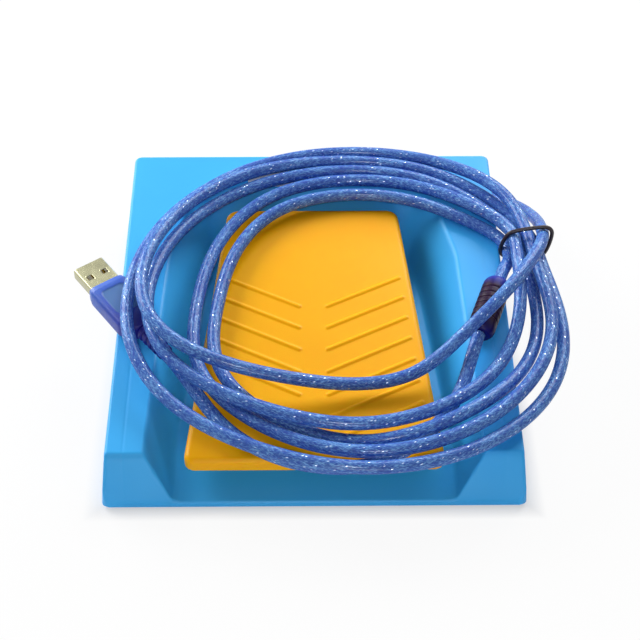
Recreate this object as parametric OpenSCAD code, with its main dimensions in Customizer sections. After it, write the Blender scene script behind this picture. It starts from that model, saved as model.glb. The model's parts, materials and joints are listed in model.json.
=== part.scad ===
// USB foot pedal switch: a low moulded base with two guard walls, a ribbed treadle
// hinged at its rear, a small snap switch under it, and a coiled USB lead.
// Millimetres, X to the right, Y to the rear, Z up, origin on the floor under the middle.

/* [Base] */
// Width across the tops of the two guard walls
base_w = 140; // [134:1:160]
// Depth from the front lip to the rear wall
base_d = 152; // [148:1:170]
// Height of the guard walls at their front crease
crease_h = 18.4; // [17.6:0.2:22]
// Slope of the wall tops and of the pedal, in degrees
top_pitch = 5; // [4.4:0.2:6]
// Run of the steep front slope below the crease
slope_run = 7.5; // [5:0.5:9]
// Height of the thin front lip
lip_h = 2.2; // [1.8:0.1:3]
// Draft of the outer side walls, in degrees
draft = 6; // [3:0.5:8]
// How far the rear wall leans in over its height
rear_lean = 1.5; // [0.5:0.1:2.5]
// Thickness of the moulded shell
wall = 2.4; // [2:0.1:2.8]
// Radius of the upright corners
corner_r = 4; // [2:0.5:6]
// Radius of the top edges
edge_r = 2; // [1:0.25:3]

/* [Recess] */
// Width of a guard wall on top, at the crease
wall_top_w = 13.1; // [11:0.1:15]
// Steepness of the inner slopes, in degrees
batter = 58; // [54:1:64]
// Steepness of the rear slope, in degrees
rear_batter = 61; // [58:1:70]
// How much the inner edges close in to the rear, in degrees
recess_taper = 2.2; // [1.5:0.1:3]
// Depth of the rear deck
deck_d = 18; // [16:0.5:21]
// Width of the recess where it meets the rear deck
recess_rear_w = 90; // [86:1:96]
// Length of the angled rear corner, measured forward from the deck
bend_d = 34.5; // [28:0.5:40]
// Height of the recess floor above the lower edge of the base
floor_h = 6.8; // [6.2:0.1:7.4]
// Length of the soft break along the recess's top edge
recess_edge = 2; // [0.5:0.25:3]
// Run of the apron that falls from the floor to the lip
apron_run = 20; // [16:0.5:24]

/* [Pedal] */
// Width of the pedal at its front edge
pedal_front_w = 87.8; // [84:0.2:91]
// Width of the pedal at its rear edge
pedal_rear_w = 65.2; // [62:0.2:68]
// Gap between the pedal's rear edge and the deck's edge
pedal_rear_gap = 10.2; // [9:0.1:13]
// Distance from the base's front lip to the pedal's front edge
pedal_setback = 5.7; // [5:0.1:7]
// Depth of the pedal's skirt
pedal_h = 6.8; // [6:0.1:7.4]
// Thickness of the pedal's top
pedal_skin = 2.4; // [2:0.1:2.8]
// Thickness of the pedal's skirt
skirt_t = 2.2; // [1.8:0.1:2.8]
// How far the pedal's top lies below the wall tops
pedal_drop = 1.2; // [0.9:0.1:1.6]
// Radius of the pedal's front corners
pedal_front_r = 3.4; // [2:0.2:5]
// Radius of the pedal's rear corners
pedal_rear_r = 4.4; // [3:0.2:6]
// Radius of the pedal's top edges
pedal_edge_r = 2; // [1:0.25:2.5]
// Number of grip ribs on each side
rib_n = 8; // [5:1:8]
// Spacing of the grip ribs along the pedal
rib_pitch = 10; // [9:0.5:11]
// Width of a grip rib
rib_w = 2.4; // [2:0.1:3]
// Height of a grip rib
rib_h = 0.7; // [0.4:0.1:0.8]
// Angle of the ribs to the pedal's width, in degrees
rib_angle = 27; // [20:1:32]

/* [Hinge] */
// Distance of the hinge axis in front of the deck's edge
hinge_in = 18.5; // [17:0.5:20]
// Height of the hinge axis above the recess floor
hinge_up = 9; // [8:0.2:10]
// Diameter of the hinge pin
pin_d = 4; // [3:0.1:4.6]
// Outer radius of the hinge eyes
eye_r = 4.5; // [4:0.1:5]
// Thickness of each hinge eye
eye_t = 5; // [4:0.5:6]
// Distance between the middles of the base's two eyes
eye_span = 48; // [46:1:52]

/* [Springs] */
// Mean diameter of a return spring
spring_d = 8; // [7:0.5:9]
// Wire diameter of a return spring
spring_wire = 1; // [0.8:0.1:1.2]
// Number of turns in a return spring
spring_turns = 5; // [4:1:6]
// Distance between the two springs
spring_span = 44; // [40:1:50]
// Distance of the springs in front of the hinge axis
spring_in = 60; // [56:1:66]

/* [Switch] */
// Length of the switch case
switch_l = 19.8; // [19:0.2:21]
// Thickness of the switch case
switch_t = 6.4; // [6:0.1:7]
// Height of the switch case
switch_h = 10.2; // [9.6:0.1:10.6]
// Height of the pusher on the pedal's underside, above the plunger
pusher_h = 1.1; // [0.8:0.1:1.4]
// Distance of the plunger in front of the hinge axis
switch_in = 20; // [19:0.5:22]
// Diameter of the plunger
plunger_d = 2.4; // [2:0.1:3]
// How far the plunger stands above the case
plunger_up = 1.2; // [1.1:0.05:1.4]

/* [Circuit board] */
// Length of the circuit board
board_l = 50; // [46:1:56]
// Depth of the circuit board
board_d = 15; // [14:0.5:16]
// Thickness of the circuit board
board_t = 1.6; // [1.2:0.1:1.8]
// Height of the board above the bottom plate
board_up = 4.4; // [4:0.2:5]

/* [Fixings] */
// Thickness of the bottom plate
plate_t = 2; // [1.8:0.1:2.2]
// Diameter of a rubber foot
foot_d = 11; // [9:0.5:12]
// How far a foot stands below the base
foot_proud = 1.2; // [0.8:0.1:1.6]
// How deep a foot is set into its pocket
foot_set = 0.8; // [0.6:0.1:1]
// Diameter of a cover screw
screw_d = 2.9; // [2.5:0.1:3.2]
// Diameter of a screw boss
boss_d = 7; // [6:0.5:8]

/* [Cable] */
// Diameter of the cable
cable_d = 4.6; // [4.2:0.1:4.7]
// Sideways place of the cable gland
gland_x = 10; // [8:1:12]
// Height of the cable gland
gland_z = 12.5; // [12:0.5:13]
// Length of the gland's tapered boot
boot_l = 12.4; // [11:0.1:12.4]
// Outer diameter of the ferrite sleeve
ferrite_d = 10; // [9:0.2:10.4]

/* [Plug] */
// Width of the plug's metal shell
shell_w = 12; // [11.8:0.1:12.2]
// Height of the plug's metal shell
shell_h = 4.5; // [4.3:0.1:4.7]
// Length of the plug's metal shell
shell_l = 12; // [11:0.1:13]
// Sheet thickness of the metal shell
shell_t = 0.4; // [0.3:0.05:0.5]
// Width of the plug's overmould
mould_w = 15; // [14:0.2:16]
// Thickness of the plug's overmould
mould_h = 7.8; // [7.4:0.1:8]
// Length of the plug's overmould
mould_l = 26; // [22:0.5:28]
// Length of the plug's strain relief
relief_l = 14; // [10:0.5:14]

/* [Hidden] */
$fn = 40;

// Clearances: between fixed parts, on the pin in the base, and of the pedal on the pin
seat_gap = 0.15;
pin_gap = 0.03;
run_gap = 0.06;
touch_gap = 0.1;

// Main planes of the base
front_y = -base_d / 2;
rear_y = base_d / 2;
base_z = foot_proud;
lip_z = base_z + lip_h;
crease_y = front_y + slope_run;
crease_z = base_z + crease_h;
rear_top_y = rear_y - rear_lean;
floor_z = base_z + floor_h;
apron_y = front_y + apron_run;
plate_z = base_z + plate_t;
function top_z(y) = crease_z + (y - crease_y) * tan(top_pitch);
rear_z = top_z(rear_top_y);
function rear_face_y(z) = rear_y - rear_lean * (z - base_z) / (rear_z - base_z);
function side_x(y, z) = base_w / 2 + (top_z(y) - z) * tan(draft);

// Recess: inner slopes, rear slope and angled corners as planes
recess_half = base_w / 2 - wall_top_w;
deck_y = rear_top_y - deck_d;
bend_y = deck_y - bend_d;
bend_r = 30;
recess_corner_r = 9;
recess_far = front_y - 10;
function slope_x(y, z) =
    recess_half - (y - crease_y) * tan(recess_taper) + (z - top_z(y)) / tan(batter);
function rear_slope_y(z) = deck_y + (z - top_z(deck_y)) / tan(rear_batter);
function rear_corner_x(z) = recess_rear_w / 2 + (z - top_z(deck_y)) / tan(batter);

// Cavity under the shell
cavity_y = apron_y + 2;

// Pedal, on a plane parallel to the wall tops
pedal_y = front_y + pedal_setback;
pedal_l = (deck_y - pedal_rear_gap - pedal_y) / cos(top_pitch);
pedal_taper = (pedal_front_w - pedal_rear_w) / 2 / pedal_l;
function pedal_z(y) = top_z(y) - pedal_drop;
function under_z(y) = pedal_z(y) - pedal_skin / cos(top_pitch);
rib_gap = 8.6;
rib_margin = 3.6;
rib_front_margin = 6;
rib_first = 66;
rib_r = (rib_w * rib_w / 4 + rib_h * rib_h) / (2 * rib_h);

// Hinge
hinge_y = deck_y - hinge_in;
hinge_z = floor_z + hinge_up;
lug_span = eye_span - 2 * eye_t - 2 * 0.4;
pin_l = eye_span + eye_t + 3;
pin_head_d = pin_d + 2.6;
pin_head_t = 1.2;
clip_t = 0.6;
clip_groove = 0.5;

// Springs and stops
spring_y = hinge_y - spring_in;
spring_boss_d = spring_d + spring_wire + 2;
spring_top_z = under_z(spring_y - spring_boss_d / 2) - 0.4;
spring_nub_d = spring_d - spring_wire - 1;
spring_nub_h = 2.4;
bumper_d = 8;
bumper_chamfer = 1;
bumper_span = 56;
bumper_y = spring_y - 20;
press_angle = 2.4;
bumper_top_z = under_z(bumper_y - bumper_d / 2)
    - (hinge_y - bumper_y + bumper_d / 2) * tan(press_angle) - 0.3;

// Switch
switch_y = hinge_y - switch_in;
plunger_top_z = under_z(switch_y) - pusher_h;
switch_z = plunger_top_z - plunger_up - switch_h;
switch_up = switch_z - floor_z;
plunger_in = 4;
switch_hole_span = 9.5;
switch_hole_d = 2.2;
switch_hole_up = 2.6;
bracket_t = 2.8;
bracket_h = switch_up + 0.7 * switch_h;
slot_l = switch_l - 2;
slot_w = 2.6;
terminal_pitch = 7;
terminal_w = 2.6;
terminal_t = 0.5;
terminal_end_z = floor_z - wall + 0.2;

// Circuit board
board_y = rear_y - wall - 3.5 - board_d / 2;
board_z = plate_z + board_up;
board_top = board_z + board_t;
board_hole_x = board_l / 2 - 4;
board_post_d = 5.6;
board_screw_d = 2;
board_screw_l = 6;
board_screw_head_d = 3.8;
board_screw_head_t = 1.4;
crystal_x = -9;
crystal_l = 6.4;
crystal_d = 4.4;
crystal_h = 3.5;
chip_l = 7;
chip_h = 1.4;
chip_pins = 8;
header_l = 12;
header_d = 5.6;
header_h = 6.4;
header_y = board_y + board_d / 2 - header_d / 2 - 1;
small_header_x = -12;
small_header_l = 7.4;
small_header_d = 4.6;
small_header_h = 4;
small_header_y = board_y - board_d / 2 + small_header_d / 2 + 0.6;

// Fixings
boss_x = base_w / 2 - 9.5;
boss_front_y = apron_y + 14;
boss_rear_y = deck_y - 16;
screw_l = 11;
screw_head_d = 5.6;
screw_head_t = 1.4;
foot_x = base_w / 2 - 12;
foot_front_y = front_y + 8.5;
foot_rear_y = rear_y - 11;

// Gland
gland_neck_r = 3.9;
gland_flange_r = 5.4;
gland_flange_t = 1.8;
gland_ribs = 4;
gland_y = rear_face_y(gland_z);
gland_end_y = gland_y + boot_l;
// Room between a flange and the leaning rear wall
flange_gap = seat_gap + (gland_flange_r + plate_t) * rear_lean / (rear_z - base_z);

// Cable route in the free stretch from the gland to the tie
lead_route = [[gland_x, gland_end_y, gland_z], [gland_x, gland_end_y + 5.1, gland_z - 0.3],
    [14, 102, 8], [28, 104, 3], [47, 98, 2.8], [65, 87, 3], [77, 80, 4.5], [83, 71, 9], [85.5, 58, 16.5],
    [87, 43, 25]];
// Cable route in the free stretch from the ferrite to the plug
ferrite_top = [67, 1, 32];
ferrite_low = [58, -23, 29.5];
plug_at = [-51, -30.5, 28];
plug_yaw = 127;
plug_tilt = 3;
// Unit direction of the plug, from its cable end to its tip
plug_dir = [cos(plug_tilt) * cos(plug_yaw), cos(plug_tilt) * sin(plug_yaw), sin(plug_tilt)];
ferrite_dir = unit(ferrite_low - ferrite_top);
end_route = concat([ferrite_low, ferrite_low + 8 * ferrite_dir],
    [[50, -48, 24], [36, -66, 22.4], [18, -77, 21], [-8, -75, 21.2], [-28, -63, 22.4], [-38, -49, 24]],
    [plug_at - 8 * plug_dir, plug_at]);

// Coil: the outermost lane round the bundle, clockwise from the tie, one point a station
ring_mid = [8, 0];
ring = [[90.5, -17], [84, -46], [58, -72], [20, -83], [-16, -75], [-47, -57], [-62, -36],
    [-66, -8], [-58, 32], [-30, 64], [8, 75], [48, 70], [74, 48]];
// How far inside the outermost lane each turn runs at the right, front right, front,
// left, back and beside the tie
lanes = [[21, 36, 40.5, 2.7, 5.6, 4], [0, 0, 0, -1.5, 0, 1], [4, 6.7, 6, 24, 16.2, 16],
    [16.5, 20, 18, 5.4, 10.9, 9.8], [9, 12.6, 12, 32, 24.5, 20]];
// Share of those six places in each station's lane
station_mix = [[1, 0, 0, 0, 0, 0], [0, 1, 0, 0, 0, 0], [0, 0.5, 0.5, 0, 0, 0], [0, 0, 1, 0, 0, 0],
    [0, 0, 0.8, 0.2, 0, 0], [0, 0, 0.5, 0.5, 0, 0], [0, 0, 0.15, 0.85, 0, 0], [0, 0, 0, 1, 0, 0],
    [0, 0, 0, 0.8, 0.2, 0], [0, 0, 0, 0.2, 0.8, 0], [0, 0, 0, 0, 1, 0], [0, 0, 0, 0, 1, 0],
    [0, 0, 0, 0, 0, 1]];
// Layer that each turn lies in at each station, 0 on the base
layers = [[3.1, 2, 0.2, 0, 0.8, 1.9, 2.9, 2.8, 1.5, 0.6, 0, 0, 0],
    [0, 0, 0.6, 1, 1, 1, 1.8, 1.7, 0.5, 0, 0, 0, 1.2],
    [0.9, 0.9, 1.1, 1, 0.4, 0.35, 0.1, 0, 0, 0, 0, 0, 0.9],
    [1.3, 0.5, 1.2, 1, 1.2, 1.5, 1.8, 1.6, 0.5, 0, 0, 0, 0],
    [0, 0.3, 1.6, 0.35, 0, 0, 0, 0, 0, 0, 0, 0, 0]];
layer_low = 3;
layer_step = 5.2;
// Places in the tied bundle, across and up, of the five turns and of the ferrite's strand,
// and how far each climbs on its way through
tie_at = [79, 20];
tie_step = 5.6;
tie_rise = 5.1;
tie_run = 6;
tie_slots = [[1.05, 1.6, 2.3], [0.8, 0, 0], [0.1, 1.05, 0], [-0.8, 1.2, 0], [-0.15, 0, 0], [-1.1, 0, 0]];
tie_d = 1.2;
turns = len(lanes);
stations = len(ring);
rings_per_step = 2;
gap_steps = 6;

// Vectors and outlines
function unit(v) = v / norm(v);
function turned(v, a) = [v[0] * cos(a) - v[1] * sin(a), v[0] * sin(a) + v[1] * cos(a)];
function flat(v) = [v[0], v[1]];
// Arc of n chords that rounds the corner b between a and c with radius r
function corner_arc(a, b, c, r, n) =
    let (u = unit(a - b), v = unit(c - b), half = acos(u * v) / 2,
        centre = b + unit(u + v) * r / sin(half), start = b + u * r / tan(half) - centre,
        side = u[0] * v[1] - u[1] * v[0] > 0 ? -1 : 1)
    [for (i = [0 : n]) centre + turned(start, side * (180 - 2 * half) * i / n)];
// Outline through corners [x, y, radius]
function rounded(q, n = 5) =
    [for (i = [0 : len(q) - 1])
        let (m = len(q), a = flat(q[(i + m - 1) % m]), b = flat(q[i]), c = flat(q[(i + 1) % m]))
        each q[i][2] > 0 ? corner_arc(a, b, c, q[i][2], n) : [b]];
// Uniform cubic B-spline through control points q, n points a step, that meets both ends
function spline(q, n) =
    let (last = len(q) - 1, p = concat([2 * q[0] - q[1]], q, [2 * q[last] - q[last - 1]]))
    concat([for (i = [0 : len(p) - 4]) for (k = [0 : n - 1])
        let (t = k / n, s = 1 - t)
        (s * s * s * p[i] + (3 * t * t * t - 6 * t * t + 4) * p[i + 1]
            + (3 * s * s * s - 6 * s * s + 4) * p[i + 2] + t * t * t * p[i + 3]) / 6], [q[last]]);
function tangents(p) =
    [for (i = [0 : len(p) - 1]) unit(p[min(i + 1, len(p) - 1)] - p[max(i - 1, 0)])];
// Side vector at each point, carried along without twist
function carried(t, side) =
    [for (i = 0, u = unit(side - (side * t[0]) * t[0]); i < len(t);
        i = i + 1, u = i < len(t) ? unit(u - (u * t[i]) * t[i]) : u) u];
// Smallest clear distance of a cable to itself, neighbours along it left out
function least_gap(p, d, skip) =
    min([for (i = [0 : len(p) - 1 - skip]) for (j = [i + skip : len(p) - 1]) norm(p[i] - p[j])]) - d;

// Tube of diameter d along the points p
module tube(p, d, side = [0, 0, 1], sides = 6) {
    t = tangents(p);
    u = carried(t, side);
    n = len(p);
    points = [for (i = [0 : n - 1]) for (j = [0 : sides - 1])
        p[i] + d / 2 * (cos(360 * j / sides) * u[i] + sin(360 * j / sides) * cross(t[i], u[i]))];
    skin = [for (i = [0 : n - 2]) for (j = [0 : sides - 1])
        let (a = i * sides + j, b = i * sides + (j + 1) % sides, c = b + sides, e = a + sides)
        each [[a, b, c], [a, c, e]]];
    caps = [[for (j = [0 : sides - 1]) sides - 1 - j], [for (j = [0 : sides - 1]) (n - 1) * sides + j]];
    polyhedron(points, [for (f = concat(skin, caps)) [for (k = [len(f) - 1 : -1 : 0]) f[k]]]);
}

// Closed tube of diameter d round a flat loop of points p with normal side
module loop_tube(p, d, side, sides = 6) {
    n = len(p);
    points = [for (i = [0 : n - 1])
        let (t = unit(p[(i + 1) % n] - p[(i + n - 1) % n]))
        for (j = [0 : sides - 1])
            p[i] + d / 2 * (cos(360 * j / sides) * side + sin(360 * j / sides) * cross(t, side))];
    polyhedron(points, [for (i = [0 : n - 1]) for (j = [0 : sides - 1])
        let (a = i * sides + j, b = i * sides + (j + 1) % sides, m = (i + 1) % n * sides,
            c = m + (j + 1) % sides, e = m + j)
        each [[c, b, a], [e, c, a]]]);
}

// Places a child drawn along +Z on the line from a to b
module along(a, b) {
    v = b - a;
    translate(a) rotate([0, acos(v[2] / norm(v)), atan2(v[1], v[0])]) children();
}

// Copies its child to the left and right
module both_sides(x) {
    for (side = [-1, 1]) translate([side * x, 0, 0]) children();
}

// Outer form of the base, drawn in by inset
module base_form(inset) {
    intersection() {
        rotate([90, 0, 90]) linear_extrude(2 * base_w, center = true)
            polygon(rounded([[front_y + inset, base_z, 0], [front_y + inset, lip_z, 0.8],
                [crease_y + inset, crease_z - inset, 3], [rear_top_y - inset, rear_z - inset, edge_r],
                [rear_y - inset, base_z, 0]]));
        translate([0, crease_y, crease_z - inset]) rotate([90 + top_pitch, 0, 0])
            linear_extrude(3 * base_d, center = true)
                let (half = base_w / 2 - inset, deep = 2 * rear_z, low = half + deep * tan(draft))
                polygon(rounded([[-low, -deep, 0], [low, -deep, 0], [half, 0, edge_r], [-half, 0, edge_r]]));
        linear_extrude(2 * rear_z) let (front = side_x(front_y, base_z), rear = side_x(rear_y, base_z))
            polygon(rounded([[-front + inset, front_y + inset, corner_r],
                [front - inset, front_y + inset, corner_r],
                [rear - inset, rear_y - inset, corner_r], [-rear + inset, rear_y - inset, corner_r]]));
    }
}

// Outline of the recess through its corners at the far front, the bend and the rear
function recess_outline(a, b, c, rear, grow) =
    rounded([[-a - grow, recess_far, 0], [a + grow, recess_far, 0],
        [b + grow, bend_y, bend_r], [c + grow, rear + grow, recess_corner_r],
        [-c - grow, rear + grow, recess_corner_r], [-b - grow, bend_y, bend_r]]);
// Ring of the recess at height z
function level_ring(z, grow) =
    let (a = slope_x(recess_far, z), b = slope_x(bend_y, z))
    [for (q = recess_outline(a, b, rear_corner_x(z), rear_slope_y(z), grow)) [q[0], q[1], z]];
// Ring of the recess that lies drop below the plane of the wall tops
function tilted_ring(drop, grow) =
    let (rear = deck_y - drop / (tan(rear_batter) - tan(top_pitch)),
        a = slope_x(recess_far, top_z(recess_far) - drop), b = slope_x(bend_y, top_z(bend_y) - drop))
    [for (q = recess_outline(a, b, rear_corner_x(top_z(rear) - drop), rear, grow))
        [q[0], q[1], top_z(q[1]) - drop]];

// Solid through a stack of outlines with the same number of points
module loft(rings) {
    n = len(rings[0]);
    m = len(rings);
    ends = [[for (i = [0 : n - 1]) i], [for (i = [0 : n - 1]) m * n - 1 - i]];
    sides = [for (k = [0 : m - 2]) for (i = [0 : n - 1])
        let (a = k * n + i, b = k * n + (i + 1) % n) each [[a, a + n, b + n], [a, b + n, b]]];
    polyhedron([for (r = rings) each r], concat(ends, sides));
}

function at_height(outline, z) = [for (q = outline) [q[0], q[1], z]];

// Space of the recess above its floor and apron, widened by grow
module recess(grow) {
    side = grow / sin(batter);
    steps = 3;
    fall = (floor_z - lip_z) / apron_run;
    // Drop and growth of each ring of the soft edge, and of one past the plane of the wall tops
    breaks = [for (i = [0 : steps - 1]) let (t = i / steps)
        [(1 - t) * (1 - t) * sin(batter), t * t] * recess_edge];
    past = [0, 2 * recess_edge] - breaks[steps - 1];
    rings = concat(breaks, [past, [-rear_z, past[1]]]);
    intersection() {
        loft(concat([level_ring(0, side)], [for (b = rings) tilted_ring(b[0], side + b[1])]));
        rotate([90, 0, 90]) linear_extrude(2 * base_w, center = true)
            polygon([[recess_far, lip_z - (front_y - recess_far) * fall - grow], [apron_y, floor_z - grow],
                [rear_y, floor_z - grow], [rear_y, 2 * rear_z], [recess_far, 2 * rear_z]]);
    }
}

// Hinge eye round the pin at the middle place x, with its foot at height foot
module hinge_eye(x, foot) {
    translate([x - eye_t / 2, hinge_y, hinge_z]) rotate([0, 90, 0]) cylinder(h = eye_t, r = eye_r);
    translate([x - eye_t / 2, hinge_y - eye_r, min(foot, hinge_z)])
        cube([eye_t, 2 * eye_r, abs(hinge_z - foot)]);
}

module pin_bore(gap) {
    translate([-base_w / 2, hinge_y, hinge_z]) rotate([0, 90, 0]) cylinder(h = base_w, d = pin_d + 2 * gap);
}

module spring_places() {
    both_sides(spring_span / 2) translate([0, spring_y, 0]) children();
}

module boss_places() {
    for (y = [boss_front_y, boss_rear_y]) both_sides(boss_x) translate([0, y, 0]) children();
}

// Bracket that the switch is screwed to, with the slot for its terminals
module switch_bracket() {
    translate([-switch_l / 2, switch_y - switch_t / 2, floor_z - 0.1])
        cube([switch_l, switch_t + bracket_t, switch_up + 0.1]);
    translate([-switch_l / 2, switch_y + switch_t / 2 + seat_gap, floor_z])
        cube([switch_l, bracket_t - seat_gap, bracket_h]);
}

module switch_holes(d) {
    both_sides(switch_hole_span / 2) translate([0, switch_y - switch_t, switch_z + switch_hole_up])
        rotate([-90, 0, 0]) cylinder(h = 3 * switch_t, d = d);
}

module base_housing() {
    color("#35b0f0") difference() {
        union() {
            difference() {
                base_form(0);
                recess(0);
                difference() {
                    translate([0, 0, -plate_t]) base_form(wall);
                    recess(wall);
                    translate([-base_w, front_y - 1, -1])
                        cube([2 * base_w, cavity_y - front_y + 1, 2 * rear_z]);
                }
                translate([0, 0, -1]) linear_extrude(plate_z + 1) plate_outline(wall - 0.1);
            }
            intersection() {
                base_form(1);
                boss_places() translate([0, 0, plate_z]) cylinder(h = rear_z, d = boss_d);
            }
            both_sides(eye_span / 2) hinge_eye(0, floor_z - 0.1);
            spring_places() translate([0, 0, floor_z - 0.1]) cylinder(h = spring_nub_h, d = spring_nub_d);
            switch_bracket();
        }
        pin_bore(pin_gap);
        boss_places() cylinder(h = plate_z + screw_l, d = screw_d + 2 * pin_gap);
        both_sides(foot_x) translate([0, foot_front_y, base_z - 1])
            cylinder(h = 1 + foot_set, d = foot_d + 2 * seat_gap);
        translate([-slot_l / 2, switch_y - slot_w / 2, base_z]) cube([slot_l, slot_w, switch_z]);
        switch_holes(switch_hole_d - 0.2);
        translate([gland_x, rear_y - 3 * wall, gland_z]) rotate([-90, 0, 0])
            cylinder(h = 6 * wall, r = gland_neck_r + seat_gap);
    }
}

// Plan of the bottom plate, drawn in from the base's outline
module plate_outline(inset) {
    front = side_x(cavity_y, base_z) - inset;
    rear = side_x(rear_y, base_z) - inset;
    polygon(rounded([[-front, cavity_y + inset - wall, 2], [front, cavity_y + inset - wall, 2],
        [rear, rear_y - inset, 3], [-rear, rear_y - inset, 3]]));
}

module bottom_plate() {
    color("#2a8fd0") difference() {
        union() {
            translate([0, 0, base_z]) linear_extrude(plate_t) plate_outline(wall - 0.1 + seat_gap);
            both_sides(board_hole_x) translate([0, board_y, base_z])
                cylinder(h = board_z - base_z, d = board_post_d);
        }
        boss_places() translate([0, 0, base_z - 1]) cylinder(h = plate_t + 2, d = screw_d + 2 * seat_gap);
        boss_places() translate([0, 0, base_z - 1])
            cylinder(h = 1 + screw_head_t, d = screw_head_d + 2 * seat_gap);
        both_sides(foot_x) translate([0, foot_rear_y, base_z - 1])
            cylinder(h = 1 + foot_set, d = foot_d + 2 * seat_gap);
        both_sides(board_hole_x) translate([0, board_y, board_z - board_screw_l])
            cylinder(h = board_z, d = board_screw_d + 2 * pin_gap);
    }
}

// Pan-head screw with its tip at z = 0 and its head above
module screw(d, l, head_d, head_t) {
    difference() {
        union() {
            cylinder(h = l, d = d);
            translate([0, 0, l]) cylinder(h = head_t, d1 = head_d, d2 = head_d * 0.8);
        }
        for (a = [0, 90]) rotate(a) translate([-head_d / 4, -d / 10, l + head_t / 2])
            cube([head_d / 2, d / 5, head_t]);
    }
}

module cover_screws() {
    color("silver") boss_places() translate([0, 0, base_z + screw_l])
        rotate([180, 0, 0]) screw(screw_d, screw_l - screw_head_t, screw_head_d, screw_head_t - touch_gap);
}

module rubber_feet() {
    color("#202225") for (y = [foot_front_y, foot_rear_y]) both_sides(foot_x) translate([0, y, 0])
        rotate_extrude() polygon([[0, 0], [foot_d / 2 - 0.4, 0], [foot_d / 2, 0.4],
            [foot_d / 2, foot_proud + foot_set], [0, foot_proud + foot_set]]);
}

// Plan of the pedal on its own slope, drawn in by inset
function pedal_outline(inset) =
    let (front = pedal_front_w / 2 - inset, rear = pedal_rear_w / 2 - inset,
        front_r = max(pedal_front_r - inset, 0.6), rear_r = max(pedal_rear_r - inset, 0.6))
    rounded([[-front, inset, front_r], [front, inset, front_r],
        [rear, pedal_l - inset, rear_r], [-rear, pedal_l - inset, rear_r]]);

// Places its children in the pedal's own plane: x across, y up the slope, z square to it
module on_pedal() {
    translate([0, pedal_y, pedal_z(pedal_y)]) rotate([top_pitch, 0, 0]) children();
}

// Skin of the pedal: skirt and rounded top edge, hollow below
module pedal_shell() {
    edge_steps = 4;
    edge = [for (i = [0 : edge_steps]) let (a = 90 * i / edge_steps)
        at_height(pedal_outline(pedal_edge_r * (1 - cos(a))), -pedal_edge_r * (1 - sin(a)))];
    difference() {
        loft(concat([at_height(pedal_outline(0), -pedal_h)], edge));
        translate([0, 0, -pedal_h - 1]) linear_extrude(pedal_h + 1 - pedal_skin)
            polygon(pedal_outline(skirt_t));
    }
}

// Chevron of grip ribs, cut short before the front edge
module pedal_ribs() {
    for (i = [0 : rib_n - 1]) for (side = [0, 1]) mirror([side, 0, 0]) {
        y0 = rib_first - i * rib_pitch;
        half = pedal_front_w / 2 - y0 * pedal_taper - rib_margin;
        from = max(0, (rib_front_margin - y0) / sin(rib_angle));
        to = (half - rib_gap / 2) / (cos(rib_angle) + pedal_taper * sin(rib_angle));
        if (to - from > 4) translate([rib_gap / 2, y0, rib_h - rib_r]) rotate([0, 0, rib_angle])
            translate([from, 0, 0]) rotate([0, 90, 0]) cylinder(h = to - from, r = rib_r);
    }
}

module pedal() {
    color("#fdb515") difference() {
        union() {
            on_pedal() {
                pedal_shell();
                pedal_ribs();
            }
            both_sides(lug_span / 2) hinge_eye(0, under_z(hinge_y + eye_r) + 0.2);
            spring_places() translate([0, 0, spring_top_z])
                cylinder(h = under_z(spring_y + spring_boss_d / 2) - spring_top_z + 0.2, d = spring_boss_d);
            spring_places() translate([0, 0, spring_top_z - spring_nub_h])
                cylinder(h = spring_nub_h, d = spring_nub_d);
            translate([0, switch_y, plunger_top_z + touch_gap])
                cylinder(h = under_z(switch_y) + 0.4 - plunger_top_z - touch_gap, d = 2 * plunger_d);
        }
        pin_bore(run_gap);
    }
}

module hinge_pin() {
    end = (pin_l - eye_span - eye_t) / 2;
    color("silver") translate([-pin_l / 2, hinge_y, hinge_z]) rotate([0, 90, 0]) difference() {
        union() {
            cylinder(h = pin_l, d = pin_d);
            translate([0, 0, end - pin_head_t - touch_gap]) cylinder(h = pin_head_t, d = pin_head_d);
        }
        translate([0, 0, pin_l - end + touch_gap]) difference() {
            cylinder(h = clip_t + touch_gap, d = pin_d + 1);
            cylinder(h = clip_t + touch_gap, d = pin_d - 2 * clip_groove);
        }
    }
}

module pin_clip() {
    inner = pin_d - 2 * clip_groove + 2 * pin_gap;
    color("dimgray") translate([(eye_span + eye_t) / 2 + 1.5 * touch_gap, hinge_y, hinge_z])
        rotate([0, 90, 0]) linear_extrude(clip_t) difference() {
            circle(d = pin_head_d + 1);
            circle(d = inner);
            translate([0, -inner * 0.4]) square([pin_head_d, inner * 0.8]);
        }
}

module return_springs() {
    steps = 8 * spring_turns;
    rise = spring_top_z - floor_z - spring_wire - 2 * touch_gap;
    coil = [for (i = [0 : steps]) let (a = 360 * spring_turns * i / steps)
        [spring_d / 2 * cos(a), spring_d / 2 * sin(a), spring_wire / 2 + touch_gap + rise * i / steps]];
    echo(spring_gap = rise / spring_turns - spring_wire);
    color("gainsboro") spring_places() translate([0, 0, floor_z]) tube(coil, spring_wire);
}

module travel_bumpers() {
    r = bumper_d / 2;
    h = bumper_top_z - floor_z;
    color("#2b2b2e") both_sides(bumper_span / 2) translate([0, bumper_y, floor_z]) rotate_extrude()
        polygon([[0, 0], [r, 0], [r, h - bumper_chamfer], [r - bumper_chamfer, h], [0, h]]);
}

module switch_case() {
    color("#1c1c20") difference() {
        translate([-switch_l / 2, switch_y - switch_t / 2, switch_z]) cube([switch_l, switch_t, switch_h]);
        translate([0, switch_y, switch_z + switch_h - plunger_in])
            cylinder(h = switch_h, d = plunger_d + 2 * run_gap);
        switch_holes(switch_hole_d);
    }
}

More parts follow.
